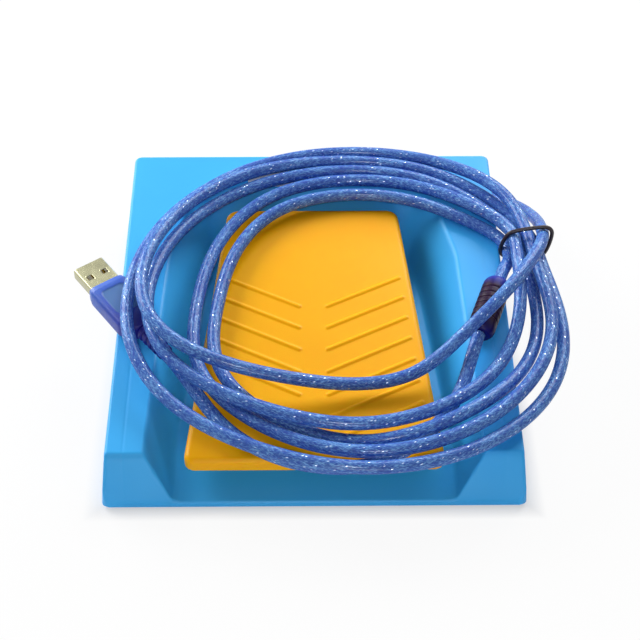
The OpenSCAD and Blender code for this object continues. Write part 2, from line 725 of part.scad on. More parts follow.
module switch_plunger() {
    color("#d83a2e") translate([0, switch_y, plunger_top_z - plunger_up - plunger_in + 1.5])
        rotate_extrude() polygon([[0, 0], [plunger_d / 2, 0], [plunger_d / 2, plunger_up + plunger_in - 1.8],
            [plunger_d / 2 - 0.3, plunger_up + plunger_in - 1.5], [0, plunger_up + plunger_in - 1.5]]);
}

module switch_terminals() {
    color("#d8b25a") for (i = [-1 : 1])
        translate([i * terminal_pitch - terminal_w / 2, switch_y - terminal_t / 2, terminal_end_z])
            cube([terminal_w, terminal_t, switch_z - terminal_end_z]);
}

module switch_screws() {
    l = switch_t + bracket_t - 0.6;
    color("silver") both_sides(switch_hole_span / 2)
        translate([0, switch_y - switch_t / 2 - touch_gap + l, switch_z + switch_hole_up]) rotate([90, 0, 0])
            screw(switch_hole_d - 0.2 - 2 * pin_gap, l, 3.6, 1.4);
}

// Two leads under the floor, from the switch's outer terminals up to the small header
module switch_wires() {
    wire_d = 1.2;
    wire_step = 1.5;
    wire_z = (plate_z + floor_z - wall) / 2;
    front = switch_y + terminal_t / 2 + wire_d / 2 + touch_gap;
    rear = small_header_y - small_header_d / 2 - touch_gap;
    up = board_top + small_header_h / 2;
    color("#c03a30") for (side = [-1, 1])
        let (x0 = side * terminal_pitch, x1 = small_header_x + side * wire_step)
            tube(spline([[x0, front, wire_z], [x0, switch_y + 8, wire_z],
                [x0 + (x1 - x0) / 3, switch_y + 16, wire_z], [x1, switch_y + 24, wire_z],
                [x1, rear - 8, wire_z], [x1, rear - 5.4, wire_z + 1], [x1, rear - 4.4, up - 1],
                [x1, rear - 1.4, up], [x1, rear, up]], 3), wire_d, [1, 0, 0]);
}

module circuit_board() {
    color("#1f6b3a") difference() {
        translate([-board_l / 2, board_y - board_d / 2, board_z]) cube([board_l, board_d, board_t]);
        both_sides(board_hole_x) translate([0, board_y, board_z - 1])
            cylinder(h = board_t + 2, d = board_screw_d + 2 * seat_gap);
    }
}

module controller_chip() {
    pin_step = (chip_l - 1) / (chip_pins - 1);
    color("#18181a") translate([-chip_l / 2, board_y - chip_l / 2, board_top]) {
        cube([chip_l, chip_l, chip_h]);
        for (i = [0 : chip_pins - 1]) for (side = [-1, chip_l])
            translate([0.3 + i * pin_step, side, 0]) cube([0.4, 1, 0.3]);
    }
}

module crystal() {
    color("lightgray") translate([crystal_x, header_y, board_top]) linear_extrude(crystal_h) {
        both_sides(crystal_l / 2) circle(d = crystal_d);
        square([crystal_l, crystal_d], center = true);
    }
}

module cable_header() {
    color("ivory") difference() {
        translate([gland_x - header_l / 2, header_y - header_d / 2, board_top])
            cube([header_l, header_d, header_h]);
        translate([gland_x - header_l / 2 + 1, header_y - header_d / 2 + 1, board_top + 1.5])
            cube([header_l - 2, header_d - 2.4, header_h]);
    }
}

module switch_header() {
    color("ivory")
        translate([small_header_x - small_header_l / 2, small_header_y - small_header_d / 2, board_top])
            difference() {
                cube([small_header_l, small_header_d, small_header_h]);
                translate([0.8, 1.6, 1.2]) cube([small_header_l - 1.6, small_header_d - 2.4, small_header_h]);
            }
}

module board_screws() {
    color("silver") both_sides(board_hole_x)
        translate([0, board_y, board_top + touch_gap / 2 - board_screw_l + board_t])
            screw(board_screw_d, board_screw_l - board_t, board_screw_head_d, board_screw_head_t);
}

// Gland: flanges on both sides of the rear wall and a ribbed, tapering boot
module cable_gland() {
    r = gland_flange_r;
    inner = -wall - flange_gap;
    outer = flange_gap;
    flanges = [[0, inner - gland_flange_t], [r, inner - gland_flange_t], [r, inner], [gland_neck_r, inner],
        [gland_neck_r, outer], [r, outer], [r, outer + gland_flange_t]];
    pitch = (boot_l - gland_flange_t - 2) / gland_ribs;
    ribs = [for (i = [0 : gland_ribs - 1]) let (r = 4.6 - 0.35 * i, s = outer + gland_flange_t + i * pitch)
        each [[r, s], [r - 0.1, s + 0.6 * pitch], [r - 0.8, s + 0.6 * pitch], [r - 0.9, s + pitch]]];
    color("#2a5fc4") translate([gland_x, gland_y, gland_z]) rotate([-90, 0, 0]) rotate_extrude()
        polygon(concat(flanges, ribs, [[2.9, boot_l], [0, boot_l]]));
}

module inner_cable() {
    from = header_y + header_d / 2;
    to = gland_y - wall - flange_gap - gland_flange_t;
    color("#3a63d0") translate([gland_x, from, gland_z]) rotate([-90, 0, 0])
        cylinder(h = to - from, d = cable_d);
}

// Point of a turn at a station of the ring
function coil_point(turn, k) =
    let (inward = unit(ring_mid - ring[k]), q = ring[k] + inward * (lanes[turn] * station_mix[k]))
    [q[0], q[1], top_z(q[1]) + layer_low + layer_step * layers[turn][k]];
// Point of a strand in the tied bundle, run before or after the tie
function tie_point(slot, run) =
    [tie_at[0] + tie_step * slot[0], tie_at[1] + run,
        top_z(tie_at[1]) + layer_low + tie_rise * slot[1] - slot[2] * run / tie_run];
function tie_pair(i) = [tie_point(tie_slots[i], tie_run), tie_point(tie_slots[i], -tie_run)];
function coil_turn(turn) = concat(tie_pair(turn), [for (k = [0 : stations - 1]) coil_point(turn, k)]);
// Control points of the whole cable from the gland to the ferrite
cable_route = concat(lead_route, [for (turn = [0 : turns - 1]) each coil_turn(turn)],
    tie_pair(turns), [ferrite_top - 8 * ferrite_dir, ferrite_top]);
// The lead ends and the coil starts at this control point, between the strands of the tie
split = len(lead_route);
cable_path = spline(cable_route, rings_per_step);
function part_of(p, a, b) = [for (i = [a : b]) p[i]];

module cable_lead() {
    color("#4a78dc") tube(part_of(cable_path, 0, split * rings_per_step), cable_d);
}

module cable_coil() {
    fine = spline(cable_route, gap_steps);
    echo(cable_gap = least_gap(concat(fine, spline(end_route, gap_steps)), cable_d, 9));
    color("#4a78dc") tube(part_of(cable_path, split * rings_per_step, len(cable_path) - 1), cable_d);
}

module cable_end() {
    color("#4a78dc") tube(spline(end_route, 3), cable_d);
}

// Ferrite sleeve: a ribbed barrel with a sealed space round the cable for the core
ferrite_bore_r = cable_d / 2;
ferrite_wall = 0.9;
ferrite_end = 3;

module ferrite_sleeve() {
    l = norm(ferrite_low - ferrite_top);
    r = ferrite_d / 2;
    grooves = 4;
    pitch = (l - 2 * ferrite_end) / grooves;
    steps = [for (i = [0 : grooves - 1]) let (s = ferrite_end + i * pitch)
        each [[r, s], [r, s + 0.7 * pitch], [r - 0.5, s + 0.75 * pitch], [r - 0.5, s + 0.95 * pitch]]];
    color("#4a3a78") along(ferrite_top, ferrite_low) difference() {
        rotate_extrude() polygon(concat([[0, 0], [r - 1.4, 0], [r - 0.4, 1]], steps,
            [[r, l - ferrite_end], [r - 0.4, l - 1], [r - 1.4, l], [0, l]]));
        translate([0, 0, ferrite_end]) rotate_extrude()
            translate([ferrite_bore_r, 0]) square([r - ferrite_wall - ferrite_bore_r, l - 2 * ferrite_end]);
    }
}

module ferrite_core() {
    l = norm(ferrite_low - ferrite_top) - 2 * ferrite_end - 2 * touch_gap;
    color("#2c2a30") along(ferrite_top, ferrite_low) translate([0, 0, ferrite_end + touch_gap]) difference() {
        cylinder(h = l, r = ferrite_d / 2 - ferrite_wall - touch_gap);
        translate([0, 0, -1]) cylinder(h = l + 2, r = ferrite_bore_r + touch_gap);
    }
}

// Loop of wire drawn round the outer strands of the bundle
module cable_tie() {
    reach = cable_d / 2 + tie_d / 2 + 0.35;
    outer = [for (i = [5, 1, 0, 3]) let (q = tie_point(tie_slots[i], 0)) [q[0], q[2]]];
    n = len(outer);
    loop = [for (i = [0 : n - 1])
        let (a = outer[i] - outer[(i + n - 1) % n], b = outer[(i + 1) % n] - outer[i],
            from = atan2(a[1], a[0]) - 90, turn = (atan2(b[1], b[0]) - 90 - from + 720) % 360)
        for (k = [0 : 5]) let (w = from + turn * k / 5)
            [outer[i][0] + reach * cos(w), tie_at[1], outer[i][1] + reach * sin(w)]];
    color("#241a28") loop_tube(loop, tie_d, [0, 1, 0]);
}

// Places its children on the plug's axis: x to the tip, z up, from the strain relief's end
module on_plug() {
    translate(plug_at) rotate([0, -plug_tilt, plug_yaw]) children();
}

// Four long edges of a block on the plug's axis, from x over length l
module mould_edges(x, l, w, h, r) {
    for (y = [-1, 1]) for (z = [-1, 1]) translate([x, y * (w / 2 - r), z * (h / 2 - r)])
        rotate([0, 90, 0]) cylinder(h = l, r = r, $fn = 16);
}

module plug_overmould() {
    ribs = 4;
    pitch = relief_l / ribs;
    neck_r = 3.2;
    shoulder = 6;
    nose = 3;
    steps = [for (i = [0 : ribs - 1]) let (r = cable_d / 2 + 0.5 + 0.25 * i, x = i * pitch)
        each [[r, x], [r + 0.1, x + 0.6 * pitch], [r - 0.5, x + 0.62 * pitch], [r - 0.5, x + 0.95 * pitch]]];
    color("#3b66c8") on_plug() {
        rotate([0, 90, 0]) rotate_extrude()
            polygon(concat([[0, 0]], steps, [[neck_r, relief_l], [neck_r, relief_l + 1], [0, relief_l + 1]]));
        difference() {
            hull() {
                mould_edges(relief_l, 1, mould_w - 4.8, mould_h - 0.8, 1.6);
                mould_edges(relief_l + shoulder, mould_l - shoulder - nose, mould_w, mould_h, 1.8);
                mould_edges(relief_l + mould_l - 1, 1, mould_w - 1.2, mould_h - 1.2, 1.6);
            }
            for (z = [-1, 1]) translate([relief_l + 9, 0, z * mould_h / 2]) linear_extrude(1, center = true)
                polygon(rounded([[0, -4, 1.5], [12, -4.6, 1.5], [12, 4.6, 1.5], [0, 4, 1.5]]));
        }
    }
}

shell_x = relief_l + mould_l + touch_gap;

module plug_shell() {
    window = [2.4, 2.2];
    color("#c9c4a8") on_plug() translate([shell_x, 0, 0]) difference() {
        translate([0, -shell_w / 2, -shell_h / 2]) cube([shell_l, shell_w, shell_h]);
        translate([-1, -shell_w / 2 + shell_t, -shell_h / 2 + shell_t])
            cube([shell_l + 2, shell_w - 2 * shell_t, shell_h - 2 * shell_t]);
        for (y = [-1, 1]) translate([5.2, y * 2.9 - window[1] / 2, -shell_h])
            cube([window[0], window[1], 2 * shell_h]);
    }
}

insert_t = 1.84;
insert_w = shell_w - 2 * shell_t - 2 * touch_gap;
insert_z = -shell_h / 2 + shell_t + touch_gap;

module plug_insert() {
    color("whitesmoke") on_plug() translate([shell_x, -insert_w / 2, insert_z])
        cube([shell_l - 0.6, insert_w, insert_t]);
}

module plug_contacts() {
    color("gold") on_plug() for (y = [-3.5, -1, 1, 3.5])
        translate([shell_x + 1, y - 0.5, insert_z + insert_t]) cube([shell_l - 3, 1, 0.15]);
}

base_housing();
bottom_plate();
cover_screws();
rubber_feet();
pedal();
hinge_pin();
pin_clip();
return_springs();
travel_bumpers();
switch_case();
switch_plunger();
switch_terminals();
switch_screws();
switch_wires();
circuit_board();
controller_chip();
crystal();
cable_header();
switch_header();
board_screws();
cable_gland();
inner_cable();
cable_lead();
cable_coil();
cable_end();
ferrite_core();
ferrite_sleeve();
cable_tie();
plug_overmould();
plug_shell();
plug_insert();
plug_contacts();
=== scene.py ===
import json
import math

import bmesh
import bpy
import numpy as np
from mathutils import Matrix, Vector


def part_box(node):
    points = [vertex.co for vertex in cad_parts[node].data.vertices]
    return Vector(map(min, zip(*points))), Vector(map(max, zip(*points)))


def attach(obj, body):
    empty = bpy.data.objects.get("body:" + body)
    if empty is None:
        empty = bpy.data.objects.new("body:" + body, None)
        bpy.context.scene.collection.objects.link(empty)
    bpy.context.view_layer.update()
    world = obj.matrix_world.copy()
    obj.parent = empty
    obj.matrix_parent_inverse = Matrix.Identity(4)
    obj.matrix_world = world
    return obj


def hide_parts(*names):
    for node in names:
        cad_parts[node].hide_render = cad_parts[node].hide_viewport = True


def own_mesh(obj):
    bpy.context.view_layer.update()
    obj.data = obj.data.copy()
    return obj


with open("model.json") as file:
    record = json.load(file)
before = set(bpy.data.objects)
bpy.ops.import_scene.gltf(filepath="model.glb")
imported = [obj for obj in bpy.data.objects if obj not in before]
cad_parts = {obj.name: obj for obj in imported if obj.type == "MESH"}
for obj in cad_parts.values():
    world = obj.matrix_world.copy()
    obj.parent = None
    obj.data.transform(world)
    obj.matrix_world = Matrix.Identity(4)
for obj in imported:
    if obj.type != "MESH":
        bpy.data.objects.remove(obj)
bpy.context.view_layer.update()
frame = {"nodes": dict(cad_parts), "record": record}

mm = 0.001
scene = bpy.context.scene


# small tools for arrays, with lengths in mm

def rad(angle):
    return math.radians(angle)


def tanOf(angle):
    return math.tan(rad(angle))


def cosSin(angle):
    return math.cos(rad(angle)), math.sin(rad(angle))


def unit(v):
    return v / np.linalg.norm(v, axis=-1, keepdims=True)


def fullTurn(count):  # angles spread evenly round one turn
    return np.linspace(0, 2 * math.pi, count, endpoint=False)


def inMm(corners):
    return np.array(corners) / mm


def smoothMin(a, b, k):  # lower of two surfaces, with a soft join k high
    h = np.maximum(k - np.abs(a - b), 0) / k
    return np.minimum(a, b) - h * h * k / 4


def smoothMax(a, b, k):  # higher of two surfaces, joined the same way
    return -smoothMin(-a, -b, k)


def smoothStep(a, b, x):  # 0 below a and 1 above b, level at both ends
    t = np.clip((x - a) / (b - a), 0, 1)
    return t * t * (3 - 2 * t)


def denseNear(start, stop, marks, fine, coarse, reach, samples=6000):
    # places along a line, a fine step apart near the marks and a coarse one away from them
    s = np.linspace(start, stop, samples)
    gap = np.abs(s[:, None] - np.array(marks)[None, :]).min(1)
    spacing = fine + (coarse - fine) * np.clip((gap - reach) / reach, 0, 1)
    count = np.concatenate([[0], np.cumsum(np.diff(s) / spacing[1:])])
    return np.interp(np.linspace(0, count[-1], int(count[-1]) + 1), count, s)


def gridQuads(points, wrapCols=True, wrapRows=False):  # faces between neighbours in a grid
    rows, cols = points.shape[:2]
    r = np.arange(rows if wrapRows else rows - 1)
    c = np.arange(cols if wrapCols else cols - 1)
    a, b = np.meshgrid(r, c, indexing="ij")
    a2, b2 = (a + 1) % rows, (b + 1) % cols
    corners = [a * cols + b, a * cols + b2, a2 * cols + b2, a2 * cols + b]
    return np.stack(corners, -1).reshape(-1, 4)


def rimOf(rows, cols):  # index of the edge of a grid, as one closed loop
    i = np.arange(rows * cols).reshape(rows, cols)
    return np.concatenate([i[:-1, 0], i[-1, :-1], i[:0:-1, -1], i[0, :0:-1]])


def outwardOf(loop):  # unit normals in plan of a closed loop of points
    t = np.roll(loop, -1, 0) - np.roll(loop, 1, 0)
    n = unit(np.stack([t[:, 1], -t[:, 0]], -1))
    side = np.sign((n * (loop[:, :2] - loop[:, :2].mean(0))).sum())
    return n * side


def wrapUv(along, cols):  # each corner's place along a round piece and its share of a turn round it
    def place(loops):
        row, col = loops // cols, loops % cols
        far = np.isin(np.arange(len(loops)) % 4, (1, 2)) & (col == 0)
        return np.stack([along[row], np.where(far, cols, col) / cols], -1)
    return place


def roundRect(halfX, halfY, r, marks=(), n=8):
    # closed outline of a rectangle with round corners, from its lower middle
    a = np.linspace(0, math.pi / 2, n)
    arc = np.stack([np.sin(a), 1 - np.cos(a)], -1) * r
    x = np.array(sorted({0.0, *marks, *(-m for m in marks)}))
    low = np.stack([x, 0 * x - halfY], -1)
    turn = np.stack([halfX - r + arc[:, 0], -halfY + arc[:, 1]], -1)
    right = np.concatenate([low[x >= 0], turn])
    half = np.concatenate([right, (right * [1, -1])[::-1]])
    left = (half * [-1, 1])[::-1]
    return np.concatenate([half[:-1], left[:-1]])


class Sheets:  # gathers grids of points into one mesh
    def __init__(self):
        self.points, self.faces, self.count = [], [], 0

    def grid(self, points, wrapCols=True):
        quads = gridQuads(points, wrapCols) + self.count
        self.points.append(points.reshape(-1, 3))
        self.faces += quads.tolist()
        self.count += len(self.points[-1])

    def cap(self, loop):
        self.points.append(loop)
        self.faces.append(list(range(self.count, self.count + len(loop))))
        self.count += len(loop)

    def closed(self, loops):  # rings in a row, capped at both ends
        self.grid(loops)
        self.cap(loops[0])
        self.cap(loops[-1])

    def all(self):
        return np.concatenate(self.points), self.faces


def putObject(name, data, columns=None):  # columns are its three axes and its place
    made = bpy.data.objects.new(name, data)
    if columns:
        pose = np.eye(4)
        pose[:3] = np.stack(columns, -1)
        made.matrix_world = Matrix(pose.tolist())
    scene.collection.objects.link(made)
    return made


def makePiece(name, points, faces, slotName, body="base", material=None, uv=None, merge=True,
              sharpAngle=40):
    mesh = bpy.data.meshes.new(name)
    quads = faces.tolist() if isinstance(faces, np.ndarray) else faces
    mesh.from_pydata((points.reshape(-1, 3) * mm).tolist(), [], quads)
    if uv is not None:
        layer = mesh.uv_layers.new(name="UVMap")
        loops = np.zeros(len(mesh.loops), np.int32)
        mesh.loops.foreach_get("vertex_index", loops)
        layer.data.foreach_set("uv", uv(loops).astype(np.float32).ravel())
    if merge:
        work = bmesh.new()
        work.from_mesh(mesh)
        bmesh.ops.remove_doubles(work, verts=work.verts, dist=1e-6)
        bmesh.ops.recalc_face_normals(work, faces=work.faces)
        work.to_mesh(mesh)
        work.free()
    mesh.polygons.foreach_set("use_smooth", np.ones(len(mesh.polygons), bool))
    mesh.set_sharp_from_angle(angle=rad(sharpAngle))
    mesh.materials.append(material or finishes[slotName])
    mesh.update()
    piece = putObject(name, mesh)
    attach(piece, body)
    return piece


# camera at the photograph's place

cameraView = {
    "place": (-2.5, -365.8, 379.9),  # mm
    "down": 45.0, "aside": 0.789, "roll": 0.273,  # degrees
    "lens": 78.75, "sensor": 36, "near": 0.01,
}


def addCamera(v):
    (ahead, fall), (c, s), (keep, tip) = (cosSin(v[k]) for k in ("down", "aside", "roll"))
    forward = np.array([s * ahead, c * ahead, -fall])
    level = np.array([c, -s, 0])
    rise = np.cross(level, forward)
    data = bpy.data.cameras.new("photoCamera")
    data.lens = v["lens"]
    data.sensor_width = v["sensor"]
    data.clip_start = v["near"]
    axes = [keep * level + tip * rise, keep * rise - tip * level, -forward]
    scene.camera = putObject("photoCamera", data, [*axes, np.array(v["place"]) * mm])


addCamera(cameraView)
print("camera set")


# materials, from screen colours

midBand = (0.3, 0.7)         # the range that most of a noise lies in
warmGlow = (1.0, 0.4, 0.05)  # how far red, green and blue light runs inside a moulding
blueGlow = (0.1, 0.3, 1.0)


def linear(screen):  # screen colour to the linear colour of a shader
    c = np.array(screen) / 255
    c = np.where(c < 0.04045, c / 12.92, ((c + 0.055) / 1.055) ** 2.4)
    return (*c.tolist(), 1.0)


def addNode(tree, kind, values=None, **settings):
    made = tree.nodes.new("ShaderNode" + kind)
    for key, value in settings.items():
        setattr(made, key, value)
    for key, value in (values or {}).items():
        if isinstance(value, bpy.types.NodeSocket):
            tree.links.new(value, made.inputs[key])
        else:
            made.inputs[key].default_value = value
    return made


def newMaterial(name, sockets):
    material = bpy.data.materials.new(name)
    material.use_nodes = True
    tree = material.node_tree
    shader = tree.nodes["Principled BSDF"]
    for key, value in sockets.items():
        shader.inputs[key].default_value = value
    return material, tree, shader


def clearPlastic(name, shine, coat, glow, reach, colours, coatRough=0.12):
    # a coat on top, and light that runs a little way inside
    return newMaterial(name, {
        "Specular IOR Level": shine, "Coat Weight": coat, "Coat Roughness": coatRough,
        "Subsurface Weight": glow, "Subsurface Scale": reach, "Subsurface Radius": colours})


def mixColour(tree, factor, a, b):
    return addNode(tree, "Mix", {0: factor, 6: a, 7: b}, data_type="RGBA").outputs[2]


def calc(tree, operation, *values):
    return addNode(tree, "Math", dict(enumerate(values)), operation=operation).outputs[0]


def spread(tree, value, low, high, fromLow=0.0, fromHigh=1.0):
    values = {"Value": value, "From Min": fromLow, "From Max": fromHigh}
    return addNode(tree, "MapRange", {**values, "To Min": low, "To Max": high}).outputs[0]


def coords(tree, kind="Object"):
    return addNode(tree, "TexCoord").outputs[kind]


def partsOf(tree, vector):
    return addNode(tree, "SeparateXYZ", {"Vector": vector}).outputs


def noise(tree, at, scale, detail, rough=0.5):
    values = {"Vector": at, "Scale": scale, "Detail": detail, "Roughness": rough}
    return addNode(tree, "TexNoise", values).outputs[0]


def stretched(tree, at, scale):
    return addNode(tree, "Mapping", {"Vector": at, "Scale": scale}).outputs[0]


def feed(tree, shader, colour, rough, height, depth, share=1.0):  # colour, gloss and bump
    bump = addNode(tree, "Bump", {"Height": height, "Distance": depth, "Strength": share})
    tree.links.new(colour, shader.inputs["Base Color"])
    tree.links.new(rough, shader.inputs["Roughness"])
    tree.links.new(bump.outputs[0], shader.inputs["Normal"])


def mouldedPlastic(name, colour, deep, rough, clouds=18, grain=1400, depth=1.2e-5, coat=0.0,
                   shine=0.4, glow=0.0):
    # two close tones in slow clouds, a fine moulded grain and a gloss that wanders a little
    material, tree, shader = clearPlastic(name, shine, coat, glow, 0.002, warmGlow)
    at = coords(tree)
    slow = noise(tree, at, clouds, 3.0, 0.55)
    tone = mixColour(tree, spread(tree, slow, 0, 1, *midBand), linear(colour), linear(deep))
    gloss = spread(tree, slow, rough * 0.85, rough * 1.2, *midBand)
    feed(tree, shader, tone, gloss, noise(tree, at, grain, 2.0, 0.6), depth)
    return material


def drawnMetal(name, colour, rough):
    # metal with fine drawing marks along one way and faint stains
    material, tree, shader = newMaterial(name, {"Metallic": 1.0})
    at = coords(tree)
    marks = noise(tree, stretched(tree, at, (900, 60, 900)), 1.0, 4.0)
    stain = spread(tree, noise(tree, at, 140.0, 3.0), 0, 1, 0.4, 0.75)
    bright = linear(colour)
    dull = tuple(c * 0.72 for c in bright[:3]) + (1.0,)
    gloss = spread(tree, marks, rough * 0.7, rough * 1.4, *midBand)
    feed(tree, shader, mixColour(tree, stain, bright, dull), gloss, marks, 6e-6)
    return material


def onTwistedSkin(tree, uv, lay, long, fine):
    # a place on a cord's skin as a point on a cylinder that twists by lay turns for each girth
    # of length, stretched long ways along and fine ways round, so that a pattern has no seam
    parts = partsOf(tree, uv)
    turns = calc(tree, "MULTIPLY_ADD", parts[0], lay, parts[1])
    angle = calc(tree, "MULTIPLY", turns, 2 * math.pi)
    radius = fine / (2 * math.pi)
    y = calc(tree, "MULTIPLY", calc(tree, "COSINE", angle), radius)
    z = calc(tree, "MULTIPLY", calc(tree, "SINE", angle), radius)
    along = calc(tree, "MULTIPLY", parts[0], long)
    return addNode(tree, "CombineXYZ", {"X": along, "Y": y, "Z": z}).outputs[0]


jacket = {
    "lay": 0.3, "long": 10.0, "fine": 34.0,   # twist of the braid, and its streaks along and round
    "clouds": (1.4, 2.5), "cloudLift": 0.06,  # slow lighter and darker stretches
    "deep": (52, 84, 172), "mid": (74, 117, 190), "deepBand": (0.42, 0.58),
    "bright": (110, 160, 216), "wireBand": (0.58, 0.72), "wireMetal": 0.2,
    "speck": (214, 232, 255), "specks": 0.94, "speckLong": 1.2, "speckBand": (0.2, 0.45),
    "coat": 0.35, "coatRough": 0.18, "coatIor": 1.6, "glow": 0.15, "glowReach": 0.0012,
    "gloss": (0.55, 0.25), "bump": 5e-5, "bumpShare": 0.6,
}


def braidedJacket(name, v):
    # clear blue jacket over a bright braid: two crossed sets of broken streaks wound along the
    # cable, specks where a wire catches the light, and a smooth coat on top
    material, tree, shader = clearPlastic(name, 0.0, v["coat"], v["glow"], v["glowReach"],
                                          blueGlow, v["coatRough"])
    shader.inputs["Coat IOR"].default_value = v["coatIor"]
    uv = coords(tree, "UV")
    streaks = []
    for lay in (v["lay"], -v["lay"]):
        skin = onTwistedSkin(tree, uv, lay, v["long"], v["fine"])
        streaks.append(noise(tree, skin, 1.0, 1.5))
    slow = noise(tree, onTwistedSkin(tree, uv, v["lay"], *v["clouds"]), 1.0, 2.0)
    lift = spread(tree, slow, -v["cloudLift"], v["cloudLift"], *midBand)
    weave = calc(tree, "ADD", calc(tree, "MAXIMUM", *streaks), lift)
    body = spread(tree, weave, 0, 1, *v["deepBand"])
    wire = spread(tree, weave, 0, 1, *v["wireBand"])
    tone = mixColour(tree, body, linear(v["deep"]), linear(v["mid"]))
    tone = mixColour(tree, wire, tone, linear(v["bright"]))
    skin = onTwistedSkin(tree, uv, v["lay"], v["long"] * v["speckLong"], v["fine"])
    cells = addNode(tree, "TexVoronoi", {"Vector": skin, "Scale": 1.0, "Randomness": 1.0}).outputs
    picked = calc(tree, "GREATER_THAN", partsOf(tree, cells["Color"])[0], v["specks"])
    speck = calc(tree, "MULTIPLY", picked, spread(tree, cells["Distance"], 1, 0, *v["speckBand"]))
    metal = calc(tree, "MAXIMUM", speck, spread(tree, wire, 0.0, v["wireMetal"]))
    tree.links.new(metal, shader.inputs["Metallic"])
    tone = mixColour(tree, speck, tone, linear(v["speck"]))
    feed(tree, shader, tone, spread(tree, metal, *v["gloss"]), weave, v["bump"], v["bumpShare"])
    return material


def gradedPlastic(name, stops, rough, coat, shine, panel=None):
    # clear moulding whose tone runs along the piece's own UV, with slow clouds,
    # and a paler panel where its mark says
    material, tree, shader = clearPlastic(name, shine, coat, 0.25, 0.0015, blueGlow)
    at = coords(tree)
    slow = noise(tree, at, 160.0, 3.0)
    waver = spread(tree, slow, -0.03, 0.03, *midBand)
    along = calc(tree, "ADD", partsOf(tree, coords(tree, "UV"))[0], waver)
    ramp = addNode(tree, "ValToRGB", {"Fac": along})
    spots = ramp.color_ramp.elements
    for i, (where, colour) in enumerate(stops):
        spot = spots[i] if i < 2 else spots.new(where)  # a ramp starts with two
        spot.position = where
        spot.color = linear(colour)
    tone = ramp.outputs[0]
    if panel:
        mark = addNode(tree, "Attribute", attribute_name="panel").outputs["Fac"]
        tone = mixColour(tree, mark, tone, linear(panel))
    gloss = spread(tree, slow, rough * 0.8, rough * 1.3, *midBand)
    feed(tree, shader, tone, gloss, noise(tree, at, 1800.0, 2.0), 8e-6)
    return material


def labelPaper(name, colour, deep):
    # coated paper: faint fibres over slow clouds
    material, tree, shader = newMaterial(name, {"Specular IOR Level": 0.4})
    at = coords(tree)
    fibre = noise(tree, stretched(tree, at, (500, 2600, 500)), 1.0, 4.0)
    both = calc(tree, "MULTIPLY", fibre, noise(tree, at, 60.0, 2.0))
    tone = mixColour(tree, spread(tree, both, 0, 1, 0.12, 0.4), linear(colour), linear(deep))
    feed(tree, shader, tone, spread(tree, fibre, 0.3, 0.5, *midBand), fibre, 6e-6)
    return material


finishes = {  # one for each of the record's material slots
    "base_plastic": mouldedPlastic("guardBlue", (66, 181, 250), (58, 173, 246), 0.38, shine=0.2),
    "pedal_plastic": mouldedPlastic("treadleYellow", (255, 182, 4), (254, 175, 3), 0.4, shine=0.15,
                                    glow=0.3),
    "steel": drawnMetal("brightSteel", (200, 202, 206), 0.28),
    "foot_rubber": mouldedPlastic("footRubber", (30, 31, 34), (22, 23, 26), 0.75, 60, 2600, 3e-5),
    "black_plastic": mouldedPlastic("switchBlack", (26, 27, 30), (20, 20, 23), 0.4, 40),
    "red_plastic": mouldedPlastic("plungerRed", (205, 52, 40), (185, 40, 32), 0.35, 40),
    "white_plastic": mouldedPlastic("headerWhite", (236, 233, 222), (228, 224, 210), 0.4, 40),
    "contact_brass": drawnMetal("contactBrass", (214, 176, 92), 0.25),
    "board": mouldedPlastic("boardGreen", (28, 104, 58), (20, 84, 46), 0.35, 120),
    "cable_jacket": braidedJacket("braidedBlueJacket", jacket),
    "cable_moulding": mouldedPlastic("mouldedBlue", (52, 84, 184), (38, 60, 160), 0.25, 60,
                                     coat=0.6),
    "ferrite": mouldedPlastic("ferriteDark", (40, 36, 44), (30, 27, 33), 0.5, 60),
    "ferrite_moulding": gradedPlastic("ferriteSkin", [
        (0.0, (44, 60, 168)), (1.0, (16, 10, 92)), (0.12, (38, 42, 142)), (0.22, (38, 13, 50)),
        (0.8, (36, 10, 36)), (0.92, (20, 8, 70))], 0.36, 0.05, 0.12),
    "tie_wire": mouldedPlastic("tieBlack", (34, 20, 34), (24, 16, 26), 0.38, 80),
    "plug_metal": drawnMetal("plugNickel", (188, 186, 152), 0.2),
}
plugFinish = gradedPlastic("plugBlue", [
    (0.0, (30, 30, 132)), (1.0, (58, 102, 196)), (0.36, (40, 38, 132)), (0.5, (42, 62, 160)),
    (0.8, (50, 84, 178))], 0.36, 0.1, 0.25, panel=(74, 114, 168))
labelFinish = labelPaper("labelPaper", (236, 241, 246), (222, 228, 236))
slotOf = {part["node"]: part["material_slot"] for part in frame["record"]["subparts"]}
print("materials:", len(finishes) + 2)


# guard base: one height over the plan, the lower of the outer form and the recess,
# with a rounded rim and drafted walls hung on its edge

